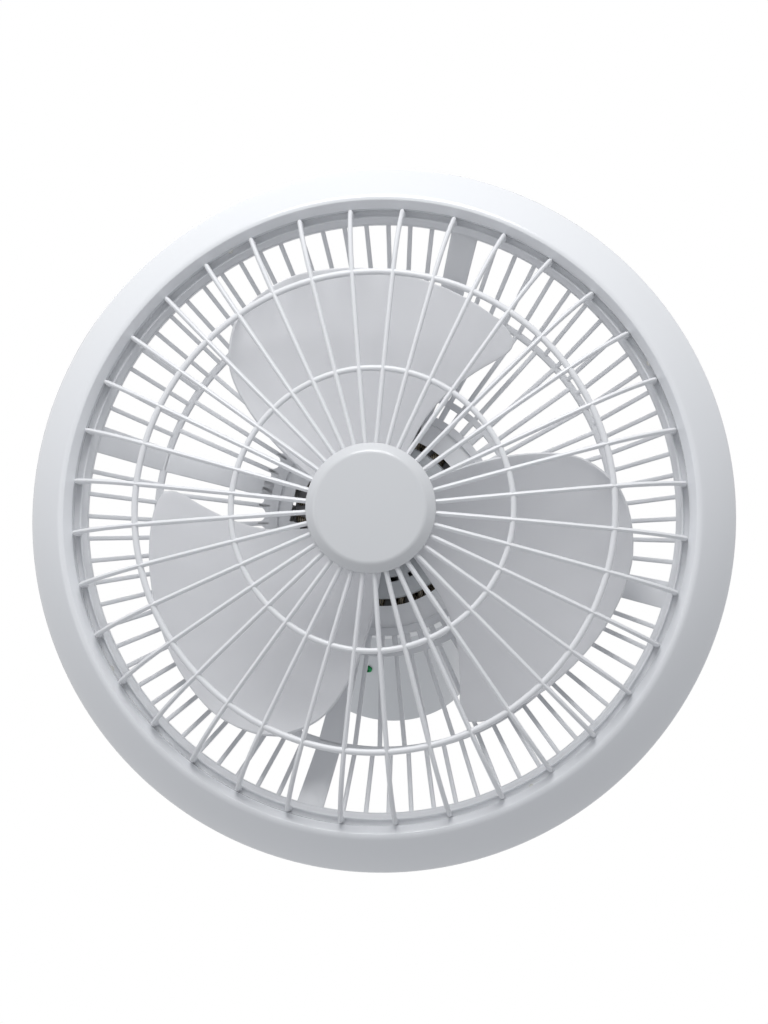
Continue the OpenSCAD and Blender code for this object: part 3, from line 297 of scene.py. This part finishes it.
look = {
    "trimColour": (0.81, 0.824, 0.848),
    # the cap's colour is the trim's white plastic made darker: painted shade for the light on its flat front
    "capShadedColour": (0.67, 0.682, 0.7),
    "grilleColour": (0.80, 0.81, 0.83),
    "guardColour": (0.74, 0.75, 0.77),
    "bladeColour": (0.735, 0.74, 0.76),
    "canopyColour": (0.72, 0.74, 0.76),
    "coverColour": (0.85, 0.86, 0.875),
    "alloyColour": (0.66, 0.675, 0.69),
    "windingDark": (0.03, 0.025, 0.018),
    "windingLight": (0.36, 0.29, 0.19),
}
trimWhite = plastic("trimWhite", look["trimColour"], 0.22, vary=0.01, peel=0.015, coat=0.3)
# the cap's material is a darker copy of the trim's white plastic, painted shade rather than a different plastic
capShadedWhite = plastic("capShadedWhite", look["capShadedColour"], 0.3, vary=0.01, peel=0.02, coat=0.15)
grilleWhite = plastic("grilleWhite", look["grilleColour"], 0.34, vary=0.012, peel=0.03)
guardWhite = plastic("guardWhite", look["guardColour"], 0.4, vary=0.015, peel=0.04)
bladeGrey = plastic("bladeGrey", look["bladeColour"], 0.36, vary=0.045, peel=0.05, peelScale=420)
canopyWhite = plastic("canopyWhite", look["canopyColour"], 0.25, peel=0.03, peelScale=260, coat=0.3)
coverWhite = plastic("coverWhite", look["coverColour"], 0.45, peel=0.06)
glandGrey = plastic("glandGrey", (0.55, 0.56, 0.56), 0.5)
blockIvory = plastic("blockIvory", (0.72, 0.67, 0.55), 0.5, vary=0.03)
caseBlack = plastic("caseBlack", (0.03, 0.03, 0.033), 0.4, vary=0.1)
rubberBlack = plastic("rubberBlack", (0.025, 0.025, 0.025), 0.7, vary=0.15, peel=0.1)
washerNylon = plastic("washerNylon", (0.75, 0.72, 0.62), 0.45)
earthGreen = metal("earthGreen", (0.02, 0.2, 0.07), 0.35)
zincPlate = metal("zincPlate", (0.55, 0.56, 0.55), 0.38, stretch=(1, 12, 1))
screwSteel = metal("screwSteel", (0.6, 0.6, 0.58), 0.3, scratch=0.08, scale=900)
motorSteel = metal("motorSteel", (0.5, 0.51, 0.52), 0.35, stretch=(1, 1, 14))
castAlloy = plastic("castAlloy", look["alloyColour"], 0.42, vary=0.03, peel=0.2, peelScale=500)
motorAlloy = metal("motorAlloy", (0.5, 0.52, 0.54), 0.5, scratch=0.25, scale=600, blotch=0.12)
bronze = metal("bronze", (0.45, 0.27, 0.12), 0.4, scratch=0.1, scale=700)
groundSteel = metal("groundSteel", (0.62, 0.63, 0.64), 0.18, stretch=(1, 1, 20), scratch=0.03)
coreSteel = metal("coreSteel", (0.2, 0.2, 0.21), 0.45, scratch=0.2, scale=900)
copper = winding("copper", look["windingDark"], look["windingLight"])

slotLooks = {
    "zinc_plate": zincPlate, "screw_steel": screwSteel, "earth_green": earthGreen,
    "rubber_black": rubberBlack, "gland_grey": glandGrey, "block_ivory": blockIvory,
    "case_black": caseBlack, "motor_steel": motorSteel, "cast_alloy": castAlloy,
    "motor_alloy": motorAlloy, "bronze": bronze, "ground_steel": groundSteel,
    "core_steel": coreSteel, "copper": copper, "washer_nylon": washerNylon,
    "canopy_white": canopyWhite, "cover_white": coverWhite, "guard_white": guardWhite,
    "trim_white": trimWhite, "blade_grey": bladeGrey,
}
for part in frame["record"]["subparts"]:
    nodes[part["node"]].data.materials.clear()
    nodes[part["node"]].data.materials.append(slotLooks[part["material_slot"]])
print("materials made")

# front grille: domed ribs, two wire rings, a hoop with a lip and the disc behind the cap
grille = {
    "ribs": 36, "ribTurn": 2.4, "ribDrift": 1.55, "driftFrom": 50, "ribWidth": 3.5, "ribDepth": 5.0,
    "sides": 12, "domeRadius": 701, "domeCentre": -494.9, "startRadius": 38.5,
    "ringRadius": 167.0, "ringThick": 4.6, "ring2Radius": 97.8, "ring2Thick": 4.2,
    "kneeEndR": 216.4, "kneeEndZ": 152.9, "tipRadius": 2.2, "footZ": 136.0,
    "hoopInner": 208.8, "hoopOuter": 217.45, "hoopBack": 134.1, "hoopFront": 137.2,
    "lipInner": 211.8, "lipOuter": 214.5, "lipFront": 139.1,
    "discRadius": 41.5, "discBack": 198.85, "discFront": 204.3,
}
kneeTilt = math.asin(grille["ringRadius"] / grille["domeRadius"])
kneeZ = grille["domeCentre"] + grille["domeRadius"] * math.cos(kneeTilt)
chord = Vector((grille["kneeEndR"] - grille["ringRadius"], kneeZ - grille["kneeEndZ"]))
kneeBend = math.atan2(chord.y, chord.x) - kneeTilt
kneeRadius = chord.length / (2 * math.sin(kneeBend))
kneeCentre = (grille["ringRadius"] - kneeRadius * math.sin(kneeTilt), kneeZ - kneeRadius * math.cos(kneeTilt))


# sweeps the selected end face round a centre in the plane of the rib
def spinFace(centre, angle, steps):
    bpy.ops.mesh.spin(steps=steps, angle=-angle, center=(centre[0] * mm, 0, centre[1] * mm), axis=(0, 1, 0))


def frontRib():
    half = grille["ribDepth"] / 2
    startTilt = math.asin(grille["startRadius"] / grille["domeRadius"])
    clearSelection()
    bpy.ops.mesh.primitive_circle_add(vertices=grille["sides"], radius=1, fill_type="NGON")
    rib = bpy.context.object
    mid = grille["domeRadius"] - half
    startZ = grille["domeCentre"] + mid * math.cos(startTilt)
    place = Matrix.Translation((mid * math.sin(startTilt) * mm, 0, startZ * mm))
    lean = Matrix.Rotation(startTilt, 4, "Y") @ Matrix.Rotation(math.pi / 2, 4, "Y")
    section = Matrix.Diagonal((half * mm, grille["ribWidth"] / 2 * mm, 1, 1))
    rib.data.transform(place @ lean @ section)
    editMode(rib)
    spinFace((0, grille["domeCentre"]), kneeTilt - startTilt, 9)
    spinFace(kneeCentre, 2 * kneeBend, 10)
    leaving = kneeTilt + 2 * kneeBend
    away = Vector((math.sin(leaving), math.cos(leaving)))
    tipCentre = Vector((grille["kneeEndR"], grille["kneeEndZ"])) - away * grille["tipRadius"]
    spinFace(tipCentre, math.pi / 2 - leaving, 4)
    drop = tipCentre.y - grille["footZ"]
    bpy.ops.mesh.extrude_region_move(TRANSFORM_OT_translate={"value": (0, 0, -drop * mm)})
    closeStart()
    objectMode()
    tidyMesh(rib)
    return rib


# the ribs close up a little on one side, as in the photo
def ribAngle(k):
    turn = k * 360 / grille["ribs"]
    drift = grille["ribDrift"] * math.cos(math.radians(turn - grille["driftFrom"]))
    return turn + grille["ribTurn"] - drift


rib = frontRib()
ribs = [copied(rib, "rib", turnZ(ribAngle(k))) for k in range(grille["ribs"])]
bpy.data.objects.remove(rib)
grilleRibs = joined("grilleRibs", ribs)
smoothShade(grilleRibs, 50)


# a round ring that lies in the middle of the ribs' depth
def wireRing(name, radius, thick):
    ribMiddle = grille["domeRadius"] - grille["ribDepth"] / 2
    z = grille["domeCentre"] + math.sqrt(ribMiddle ** 2 - radius ** 2)
    return turned(name, roundCorner(radius, z, thick / 2, 0, 330, 11), 180)


ringOuter = wireRing("ringOuter", grille["ringRadius"], grille["ringThick"])
ringInner = wireRing("ringInner", grille["ring2Radius"], grille["ring2Thick"])
hoopFront, lipOuter = grille["hoopFront"], grille["lipOuter"]
lipInner, lipFront = grille["lipInner"], grille["lipFront"]
hoop = turned("hoop", [
    (grille["hoopInner"], grille["hoopBack"]), (grille["hoopOuter"], grille["hoopBack"]),
    (grille["hoopOuter"], hoopFront), (lipOuter, hoopFront), (lipOuter - 0.5, hoopFront + 0.3),
    (lipOuter - 0.8, lipFront - 0.5), (lipOuter - 1.3, lipFront - 0.1), (lipInner + 0.7, lipFront),
    (lipInner + 0.2, lipFront - 0.3), (lipInner, lipFront - 1.1),
    (grille["hoopInner"], grille["hoopBack"] + 0.9)], 180)
discRadius, discBack, discFront = grille["discRadius"], grille["discBack"], grille["discFront"]
disc = turned("disc", [
    (0, discFront), (discRadius - 0.6, discFront), (discRadius, discFront - 0.6),
    (discRadius, discBack + 0.55), (discRadius - 0.6, discBack), (0, discBack)], 72, closed=False)
frontGrille = joined("frontGrille", [grilleRibs, ringOuter, ringInner, hoop, disc])
smoothShade(frontGrille, 40)
finished(frontGrille, "head", grilleWhite, headMatrix)
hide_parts("front_grille")
print("front grille made")

# centre cap, a shallow disc with a bevelled edge
cap = {"radius": 45.0, "back": 204.85, "front": 211.85, "flat": 36.8, "soft": 5.0, "slope": 47, "wall": 2.0}
capChain = [(0, cap["front"])]
capChain += roundCorner(cap["flat"], cap["front"] - cap["soft"], cap["soft"], 90, cap["slope"], 6)
capChain += roundCorner(cap["radius"] - 1.0, cap["back"] + 1.1, 1.0, cap["slope"], 0, 4)
capChain += [(cap["radius"], cap["back"] + 0.3), (cap["radius"] - 0.3, cap["back"]),
             (cap["radius"] - cap["wall"], cap["back"]), (cap["radius"] - cap["wall"] - 1, cap["back"] + 0.9),
             (cap["flat"] - 0.6, cap["front"] - cap["wall"] - 0.4), (0, cap["front"] - cap["wall"])]
centreCap = turned("centreCap", capChain, 128, closed=False)
smoothShade(centreCap, 30)
finished(centreCap, "head", capShadedWhite, headMatrix)
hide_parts("centre_cap")
print("centre cap made")


# a bar along X through stations of (radius, top, bottom, width) in mm
def bar(name, stations, soft):
    clearSelection()
    bpy.ops.mesh.primitive_plane_add(size=1)
    obj = bpy.context.object
    obj.name = name
    r, top, bottom, width = stations[0]
    place = Matrix.Translation((r * mm, 0, (top + bottom) / 2 * mm)) @ Matrix.Rotation(math.pi / 2, 4, "Y")
    obj.data.transform(place @ Matrix.Diagonal(((top - bottom) * mm, width * mm, 1, 1)))
    editMode(obj)
    for last, (r, top, bottom, width) in zip(stations, stations[1:]):
        shift = (r - last[0], 0, (top + bottom - last[1] - last[2]) / 2)
        bpy.ops.mesh.extrude_region_move(TRANSFORM_OT_translate={"value": [c * mm for c in shift]})
        bpy.ops.transform.resize(value=(1, width / last[3], (top - bottom) / (last[1] - last[2])),
                                 center_override=(r * mm, 0, (top + bottom) / 2 * mm))
    closeStart()
    objectMode()
    tidyMesh(obj)
    softEdges(obj, soft, 50)
    return obj


# part of a ring: a closed outline of (radius, height) in mm swept from one angle to another
def ringPart(name, outline, start, finish, steps):
    clearSelection()
    bpy.ops.mesh.primitive_circle_add(vertices=len(outline), radius=1, fill_type="NGON")
    obj = bpy.context.object
    obj.name = name
    for v, (r, z) in zip(obj.data.vertices, outline):
        v.co = (r * mm, 0, z * mm)
    obj.data.transform(turnZ(start))
    editMode(obj)
    bpy.ops.mesh.spin(steps=steps, angle=-math.radians(finish - start), center=(0, 0, 0), axis=(0, 0, 1))
    closeStart()
    objectMode()
    tidyMesh(obj)
    return obj


def cutAway(obj, tool):
    m = obj.modifiers.new("cut", "BOOLEAN")
    m.operation = "DIFFERENCE"
    m.solver = "EXACT"
    m.object = tool
    applyModifiers(obj)
    bpy.data.objects.remove(tool)


def cylinder(name, radius, z0, z1, at, sides=48):
    clearSelection()
    bpy.ops.mesh.primitive_cylinder_add(vertices=sides, radius=radius * mm, depth=(z1 - z0) * mm)
    obj = bpy.context.object
    obj.name = name
    obj.data.transform(Matrix.Translation((at[0] * mm, at[1] * mm, (z0 + z1) / 2 * mm)))
    return obj


# trim ring: a shell turned from its outline, with four screw tabs
trim = {
    "outer": 250.0, "bore": 217.5, "wall": 2.5, "front": 152.1, "back": 126.6, "lip": 120.1,
    "edge": 6.2, "leave": 50, "tabTurn": 37.5, "tabInner": 214.3, "tabOuter": 223.3,
    "tabWidth": 18, "tabThick": 3.0, "screwRadius": 218.0, "screwBore": 2.0,
}
leaveWay = Vector((math.cos(math.radians(trim["leave"])), math.sin(math.radians(trim["leave"]))))
edgeAt = Vector((trim["bore"] + trim["edge"], trim["front"] - trim["edge"]))
faceStart = edgeAt + trim["edge"] * leaveWay
faceChord = Vector((trim["outer"], trim["lip"] + 4)) - faceStart
faceBend = math.degrees(math.atan2(-faceChord.y, faceChord.x)) - (90 - trim["leave"])
faceRadius = faceChord.length / (2 * math.sin(math.radians(faceBend)))
faceAt = faceStart - faceRadius * leaveWay
faceEnd = trim["leave"] - 2 * faceBend
trimChain = [(trim["bore"], trim["back"] + 0.4)]
trimChain += roundCorner(trim["bore"] + 1, trim["front"] - trim["edge"] + 0.2, 1, 180, 135, 4)
trimChain += roundCorner(trim["bore"] + trim["edge"] - 0.3, trim["front"] - 1.3, 1.2, 135, 90, 4)
trimChain += roundCorner(edgeAt.x, edgeAt.y, trim["edge"], 82, trim["leave"] + 6, 5)
trimChain += roundCorner(faceAt.x, faceAt.y, faceRadius, trim["leave"], faceEnd, 20)
trimChain += [(trim["outer"], trim["lip"] + 0.6), (trim["outer"] - 0.6, trim["lip"])]
trimChain += [(trim["outer"] - trim["wall"], trim["lip"])]
trimChain += roundCorner(faceAt.x, faceAt.y, faceRadius - trim["wall"], faceEnd, trim["leave"], 14)
trimChain += roundCorner(edgeAt.x, edgeAt.y, trim["edge"] - trim["wall"], trim["leave"] + 6, 180, 8)
trimChain += [(trim["bore"] + trim["wall"], trim["back"]), (trim["bore"] + 0.4, trim["back"])]
trimBody = turned("trimBody", trimChain, 240)
tabFront = trim["back"] + trim["tabThick"]
tab = box("tab", (trim["tabOuter"] - trim["tabInner"], trim["tabWidth"], trim["tabThick"]),
          ((trim["tabOuter"] + trim["tabInner"]) / 2, 0, trim["back"] + trim["tabThick"] / 2))
cutAway(tab, cylinder("bore", trim["screwBore"], trim["back"] - 1, tabFront + 1, (trim["screwRadius"], 0)))
tabs = [copied(tab, "tab", turnZ(trim["tabTurn"] + 90 * k)) for k in range(4)]
bpy.data.objects.remove(tab)
trimRing = joined("trimRing", [trimBody] + tabs)
smoothShade(trimRing, 32)
finished(trimRing, "head", trimWhite, headMatrix)
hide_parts("trim_ring")
print("trim ring made")

# rear guard: struts and ribs between a flange, a middle ring and the rim
guard = {
    "front": 101.6, "depth": 4.0, "panFront": 99.4, "flangeInner": 76.5, "flangeOuter": 82.5,
    "windowOuter": 92.7, "ringOuter": 97.5, "webWidth": 4.0, "midRing": 161.0, "midRingWidth": 5.0,
    "ribWidth": 3.2, "outerRibDepth": 3.2, "outerRibDrop": 0.4, "overlap": 1.5,
    "rimBack": 129.6, "rimFront": 134.1, "rimInner": 208.0, "rimOuter": 217.45,
    "struts": [-7.7, 84.5, 172.5, 261.5], "strutGap": 6.5, "strutRoot": 12.0, "strutRim": 20.0,
    "strutEnd": 222.0, "outerRibs": [19, 18, 19, 19], "innerRibs": [10, 13, 13, 10], "fine": [1, 2],
    "spineWidth": 3.0, "spineDepth": 7.0, "spineDrop": 1.0, "slotAside": 1.6,
    "ear": 72.0, "earTurn": -71, "pad": 7.0, "padBore": 2.0,
    "soft": 0.8, "strutSoft": 0.7, "spineSoft": 0.6,
}
front, back = guard["front"], guard["front"] - guard["depth"]
flangeIn, flangeOut = guard["flangeInner"], guard["flangeOuter"]
midR = guard["midRing"] + guard["midRingWidth"] / 2
slopeEnd = (guard["rimInner"] + 1, guard["rimFront"] - 1)
barStart = flangeOut - 0.2


def strutWidth(r):
    part = (r - flangeOut + 2) / (guard["strutEnd"] - flangeOut + 2)
    return guard["strutRoot"] + (guard["strutRim"] - guard["strutRoot"]) * part


def flatBar(name, r0, r1, width):
    return bar(name, [(r0, front, back, width), (r1, front, back, width)], guard["soft"])


# a bar that starts flat under the middle ring and climbs to the rim
def climbingBar(name, widthAt, soft):
    flatTop = front - guard["outerRibDrop"]
    places = [(midR - guard["overlap"], flatTop), (midR, flatTop), slopeEnd]
    return bar(name, [(r, top, top - guard["outerRibDepth"], widthAt(r)) for r, top in places], soft)


outerRib = climbingBar("outerRib", lambda r: guard["ribWidth"], guard["soft"])
strutOuter = climbingBar("strutOuter", strutWidth, guard["strutSoft"])
strutInner = bar("strutInner", [(barStart, front, back, strutWidth(flangeOut)),
                                (midR, front, back, strutWidth(midR))], guard["strutSoft"])
spineTop = front - guard["spineDrop"]
spinePlaces = [(flangeOut + 1, spineTop), (midR, spineTop), (slopeEnd[0], slopeEnd[1] - 0.6)]
spine = bar("spine", [(r, top, top - guard["spineDepth"], guard["spineWidth"]) for r, top in spinePlaces],
            guard["spineSoft"])
innerLong = flatBar("innerLong", barStart, guard["midRing"] + 1, guard["ribWidth"])
innerShort = flatBar("innerShort", guard["ringOuter"] - 1, guard["midRing"] + 1, guard["ribWidth"])
web = flatBar("web", barStart, guard["windowOuter"] + 1, guard["webWidth"])
guardParts = []
for q in range(4):
    start = guard["struts"][q]
    span = guard["struts"][q + 1] - start if q < 3 else guard["struts"][0] + 360 - start
    pieces = [(piece, start) for piece in (strutOuter, strutInner, spine)]
    pitch = (span - 2 * guard["strutGap"]) / (guard["outerRibs"][q] - 1)
    pieces += [(outerRib, start + guard["strutGap"] + pitch * j) for j in range(guard["outerRibs"][q])]
    step = span / (guard["innerRibs"][q] + 1)
    for j in range(guard["innerRibs"][q]):
        pieces += [(piece, start + step * (j + 1)) for piece in
                   ([innerShort, web] if q in guard["fine"] else [innerLong])]
    guardParts += [copied(piece, "guardBar", turnZ(turn)) for piece, turn in pieces]
    if q not in guard["fine"]:
        # the slots on this side end in half rounds near the flange
        endAt = (flangeOut + 1.5) / (1 - math.sin(math.radians(step / 2)))
        slotRadius = endAt * math.sin(math.radians(step / 2)) - guard["ribWidth"] / 2
        ends = ringPart("slotEnds", [(barStart, back), (endAt, back), (endAt, front), (barStart, front)],
                        start, start + span, 48)
        slots = []
        for j in range(guard["innerRibs"][q] + 1):
            # the first and last slots are narrower and stand off from the strut
            aside = (j == 0) - (j == guard["innerRibs"][q])
            radius = slotRadius - 2 if aside else slotRadius + 0.25
            slot = cylinder("slot", radius, back - 1, front + 1, (endAt, 0), 32)
            slotTurn = start + step * (j + 0.5) + aside * guard["slotAside"]
            slots.append(copied(slot, "slot", turnZ(slotTurn)))
            bpy.data.objects.remove(slot)
        cutAway(ends, joined("slots", slots))
        guardParts.append(ends)
for piece in (outerRib, strutOuter, strutInner, spine, innerLong, innerShort, web):
    bpy.data.objects.remove(piece)
guardParts.append(turned("flange", [
    (flangeIn, guard["panFront"]), (flangeIn, front - 0.4), (flangeIn + 0.4, front),
    (flangeOut - 0.3, front), (flangeOut, front - 0.3), (flangeOut, back), (flangeOut - 0.3, back),
    (flangeOut - 0.3, guard["panFront"])], 160))
inner, outer = guard["windowOuter"], guard["ringOuter"]
guardParts.append(ringPart("windowRing", [
    (inner, back), (outer, back), (outer, front - 0.6), (outer - 0.6, front), (inner + 0.6, front),
    (inner, front - 0.6)], guard["struts"][1], guard["struts"][3], 90))
inner, outer = guard["midRing"], guard["midRing"] + guard["midRingWidth"]
guardParts.append(turned("midRing", [
    (inner + 0.6, back), (outer - 0.6, back), (outer, back + 0.6), (outer, front - 0.9),
    (outer - 0.3, front - 0.3), (outer - 0.9, front), (inner + 0.9, front), (inner + 0.3, front - 0.3),
    (inner, front - 0.9), (inner, back + 0.6)], 200))
inner, outer = guard["rimInner"], guard["rimOuter"]
rimBack, rimFront = guard["rimBack"], guard["rimFront"]
guardParts.append(turned("rim", [
    (inner, rimBack + 0.4), (inner + 0.4, rimBack), (outer, rimBack), (outer, rimFront - 0.3),
    (outer - 0.3, rimFront), (inner + 0.4, rimFront), (inner, rimFront - 0.4)], 200))
pad = turned("pad", [
    (guard["padBore"], guard["panFront"]), (guard["pad"], guard["panFront"]), (guard["pad"], front - 0.4),
    (guard["pad"] - 0.4, front), (guard["padBore"], front)], 40)
earPlace = Matrix.Translation((guard["ear"] * mm, 0, 0))
guardParts += [copied(pad, "pad", turnZ(guard["earTurn"] + 120 * k) @ earPlace) for k in range(3)]
bpy.data.objects.remove(pad)
rearGuard = joined("rearGuard", guardParts)
smoothShade(rearGuard, 40)
finished(rearGuard, "head", guardWhite, headMatrix)
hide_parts("rear_guard")
print("rear guard made")

# fan blades: three curved sheets on a hollow hub
fan = {
    "count": 3, "turn": 1.2, "drawnTip": 184.5, "tip": 180.5, "middle": 142.1, "rise": 36.0,
    "camber": 7.0, "tipCamber": 0.7, "thick": 2.4, "soft": 0.8, "sink": 0.8, "across": 28, "along": 32,
    "hub": 32.0, "hubBack": 114.1, "hubFront": 160.1, "hubWall": 2.5, "hubRound": 8.0,
    "shaft": 4.0, "boss": 9.0, "pinWidth": 3.0, "pinDepth": 4.5,
}
# one blade's edges as (radius, angle): both sides run from root to tip, and the tip joins their ends
leadSide = [(29, 17), (52, 15), (72, 13.5), (90, 11), (115, 6), (142, 0.5), (153, -0.8), (160, 0)]
tipSide = [(160, 0), (165, 4), (169, 12), (175, 27), (181, 41), (184, 51), (184.5, 58), (180, 67), (173, 73)]
trailSide = [(29, 104), (52, 98), (80, 93.5), (108, 89.5), (133, 85.5), (150, 82), (163, 77.5), (173, 73)]


# a smooth curve through the points, for t from 0 to 1
def along(points, t):
    s = t * (len(points) - 1)
    i = min(int(s), len(points) - 2)
    f = s - i
    p0, p1, p2, p3 = [Vector(points[max(0, min(len(points) - 1, i + k))]) for k in (-1, 0, 1, 2)]
    second = 2 * p0 - 5 * p1 + 4 * p2 - p3
    third = 3 * p1 - p0 - 3 * p2 + p3
    return 0.5 * (2 * p1 + (p2 - p0) * f + second * f * f + third * f ** 3)


# u runs from root to tip, v from the leading to the trailing side
def bladePoint(u, v):
    lead, trail, tip = along(leadSide, u), along(trailSide, u), along(tipSide, v)
    root = Vector(leadSide[0]).lerp(Vector(trailSide[0]), v)
    corner = (1 - u) * root + u * Vector(tipSide[0]).lerp(Vector(tipSide[-1]), v)
    r, turn = (1 - v) * lead + v * trail + (1 - u) * root + u * tip - corner
    if r > fan["hub"]:
        r = fan["hub"] + (r - fan["hub"]) * (fan["tip"] - fan["hub"]) / (fan["drawnTip"] - fan["hub"])
    camber = fan["camber"] * (1 - (1 - fan["tipCamber"]) * u)
    z = fan["middle"] + fan["rise"] * (v - 0.5) - camber * 4 * v * (1 - v)
    r = max(r, fan["hub"] - fan["sink"])
    return r * math.cos(math.radians(turn)) * mm, r * math.sin(math.radians(turn)) * mm, z * mm


clearSelection()
bpy.ops.mesh.primitive_grid_add(x_subdivisions=fan["along"], y_subdivisions=fan["across"], size=1)
blade = bpy.context.object
blade.name = "blade"
for v in blade.data.vertices:
    v.co = bladePoint(v.co.x + 0.5, v.co.y + 0.5)
skin = blade.modifiers.new("thickness", "SOLIDIFY")
skin.thickness = fan["thick"] * mm
skin.offset = 0
applyModifiers(blade)
softEdges(blade, fan["soft"], 60)
bladeSet = [copied(blade, "blade", turnZ(fan["turn"] + 120 * k)) for k in range(fan["count"])]
bpy.data.objects.remove(blade)
inside = fan["hub"] - fan["hubWall"]
roundAt = (fan["hub"] - fan["hubRound"], fan["hubFront"] - fan["hubRound"])
hubChain = [(fan["shaft"], fan["hubFront"])] + roundCorner(*roundAt, fan["hubRound"], 90, 0, 8)
hubChain += [(fan["hub"], fan["hubBack"] + 0.4), (fan["hub"] - 0.4, fan["hubBack"]), (inside, fan["hubBack"])]
hubChain += roundCorner(*roundAt, fan["hubRound"] - fan["hubWall"], 0, 90, 6)
hubChain += [(fan["boss"], fan["hubFront"] - fan["hubWall"]), (fan["boss"], fan["hubBack"] + 1),
             (fan["shaft"], fan["hubBack"] + 1)]
hub = turned("hub", hubChain, 96)
pinSlot = box("pinSlot", (fan["pinWidth"], 2 * fan["boss"] + 2, fan["pinDepth"]),
              (0, 0, fan["hubBack"] + fan["pinDepth"] / 2))
cutAway(hub, pinSlot)
fanBlades = joined("fanBlades", [hub] + bladeSet)
smoothShade(fanBlades, 40)
finished(fanBlades, "rotor", bladeGrey, headMatrix)
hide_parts("fan_blades")
print("blades made")

# camera, where the photo was taken from
view = {
    "place": (-0.26464, -1.89713, -2.11324),
    "right": (-0.98579, 0.16636, -0.02313),
    "down": (-0.13475, -0.70112, 0.7002),
    "lens": 130.455,
}
camData = bpy.data.cameras.new("camera")
camera = bpy.data.objects.new("camera", camData)
bpy.context.scene.collection.objects.link(camera)
right = Vector(view["right"]).normalized()
down = Vector(view["down"])
down = (down - down.dot(right) * right).normalized()
ahead = right.cross(down)
camera.matrix_world = Matrix.Translation(view["place"]) @ Matrix((right, -down, -ahead)).transposed().to_4x4()
camData.sensor_width = 36
camData.lens = view["lens"]
camData.clip_start = 0.05
camData.clip_end = 60
bpy.context.scene.camera = camera

# studio: a pale floor, a white surround and three soft lamps
studio = {
    "floorZ": -5.0, "floorSize": 60.0, "floorGlow": 0.85, "fill": 0.5,
    "keyPower": 46.0, "keySize": 1.6, "keyUp": 2.2, "keyNear": 1.2, "keySide": -0.2,
    "sidePower": 4.0, "sideSize": 1.2, "sideAway": 2.2, "sideNear": 1.2,
    "topPower": 8.0, "topSize": 1.5, "topPlace": (0.8, 2.2, 0.6), "topAim": (0, 0, -0.15),
}


# a value that is full where a surface is seen straight, in a reflection or through glass
def seenDirectly(tree, links, most):
    rays = tree.new("ShaderNodeLightPath")
    last = None
    for kind in ("Is Camera Ray", "Is Glossy Ray", "Is Transmission Ray"):
        if last is None:
            last = rays.outputs[kind]
            continue
        both = tree.new("ShaderNodeMath")
        both.operation = "ADD"
        both.use_clamp = True
        links.new(last, both.inputs[0])
        links.new(rays.outputs[kind], both.inputs[1])
        last = both.outputs["Value"]
    scaled = tree.new("ShaderNodeMath")
    scaled.operation = "MULTIPLY"
    scaled.inputs[1].default_value = most
    links.new(last, scaled.inputs[0])
    return scaled.outputs["Value"]


bpy.ops.mesh.primitive_plane_add(size=studio["floorSize"], location=(0, 0, studio["floorZ"]))
floor = bpy.context.object
floor.name = "floor"
floor.data.transform(floor.matrix_basis)
floor.matrix_basis = Matrix.Identity(4)
floorLook = plastic("floorLook", (0.85, 0.85, 0.85), 0.9, vary=0.01, peel=0.0)
floorNodes, floorLinks = floorLook.node_tree.nodes, floorLook.node_tree.links
floorGlow = addNode(floorNodes, "ShaderNodeEmission", Color=(1, 1, 1, 1), Strength=1.0)
floorMix = floorNodes.new("ShaderNodeMixShader")
floorLinks.new(seenDirectly(floorNodes, floorLinks, studio["floorGlow"]), floorMix.inputs["Fac"])
floorLinks.new(floorNodes["Principled BSDF"].outputs["BSDF"], floorMix.inputs[1])
floorLinks.new(floorGlow.outputs["Emission"], floorMix.inputs[2])
floorLinks.new(floorMix.outputs["Shader"], floorNodes["Material Output"].inputs["Surface"])
floor.data.materials.append(floorLook)

world = bpy.data.worlds.new("studio")
bpy.context.scene.world = world
world.use_nodes = True
sky, skyLinks = world.node_tree.nodes, world.node_tree.links
softLight = sky["Background"]
softLight.inputs["Color"].default_value = (0.94, 0.96, 1.0, 1)
softLight.inputs["Strength"].default_value = studio["fill"]
whiteBack = addNode(sky, "ShaderNodeBackground", Color=(1, 1, 1, 1), Strength=1.0)
pick = sky.new("ShaderNodeMixShader")
skyLinks.new(seenDirectly(sky, skyLinks, 1.0), pick.inputs["Fac"])
skyLinks.new(softLight.outputs["Background"], pick.inputs[1])
skyLinks.new(whiteBack.outputs["Background"], pick.inputs[2])
skyLinks.new(pick.outputs["Shader"], sky["World Output"].inputs["Surface"])


def softBox(name, at, aim, size, power):
    data = bpy.data.lights.new(name, "AREA")
    data.shape = "DISK"
    data.size = size
    data.energy = power
    obj = bpy.data.objects.new(name, data)
    bpy.context.scene.collection.objects.link(obj)
    facing = (Vector(aim) - Vector(at)).to_track_quat("-Z", "Y")
    obj.matrix_world = Matrix.Translation(at) @ facing.to_matrix().to_4x4()


headCentre = headMatrix @ Vector((0, 0, 0.13))
keyAt = headCentre - down * studio["keyUp"] - ahead * studio["keyNear"] + right * studio["keySide"]
softBox("key", keyAt, headCentre, studio["keySize"], studio["keyPower"])
sideAt = headCentre - right * studio["sideAway"] - ahead * studio["sideNear"]
softBox("side", sideAt, headCentre, studio["sideSize"], studio["sidePower"])
softBox("top", studio["topPlace"], studio["topAim"], studio["topSize"], studio["topPower"])
bpy.context.scene.view_settings.view_transform = "Standard"
print("studio made")
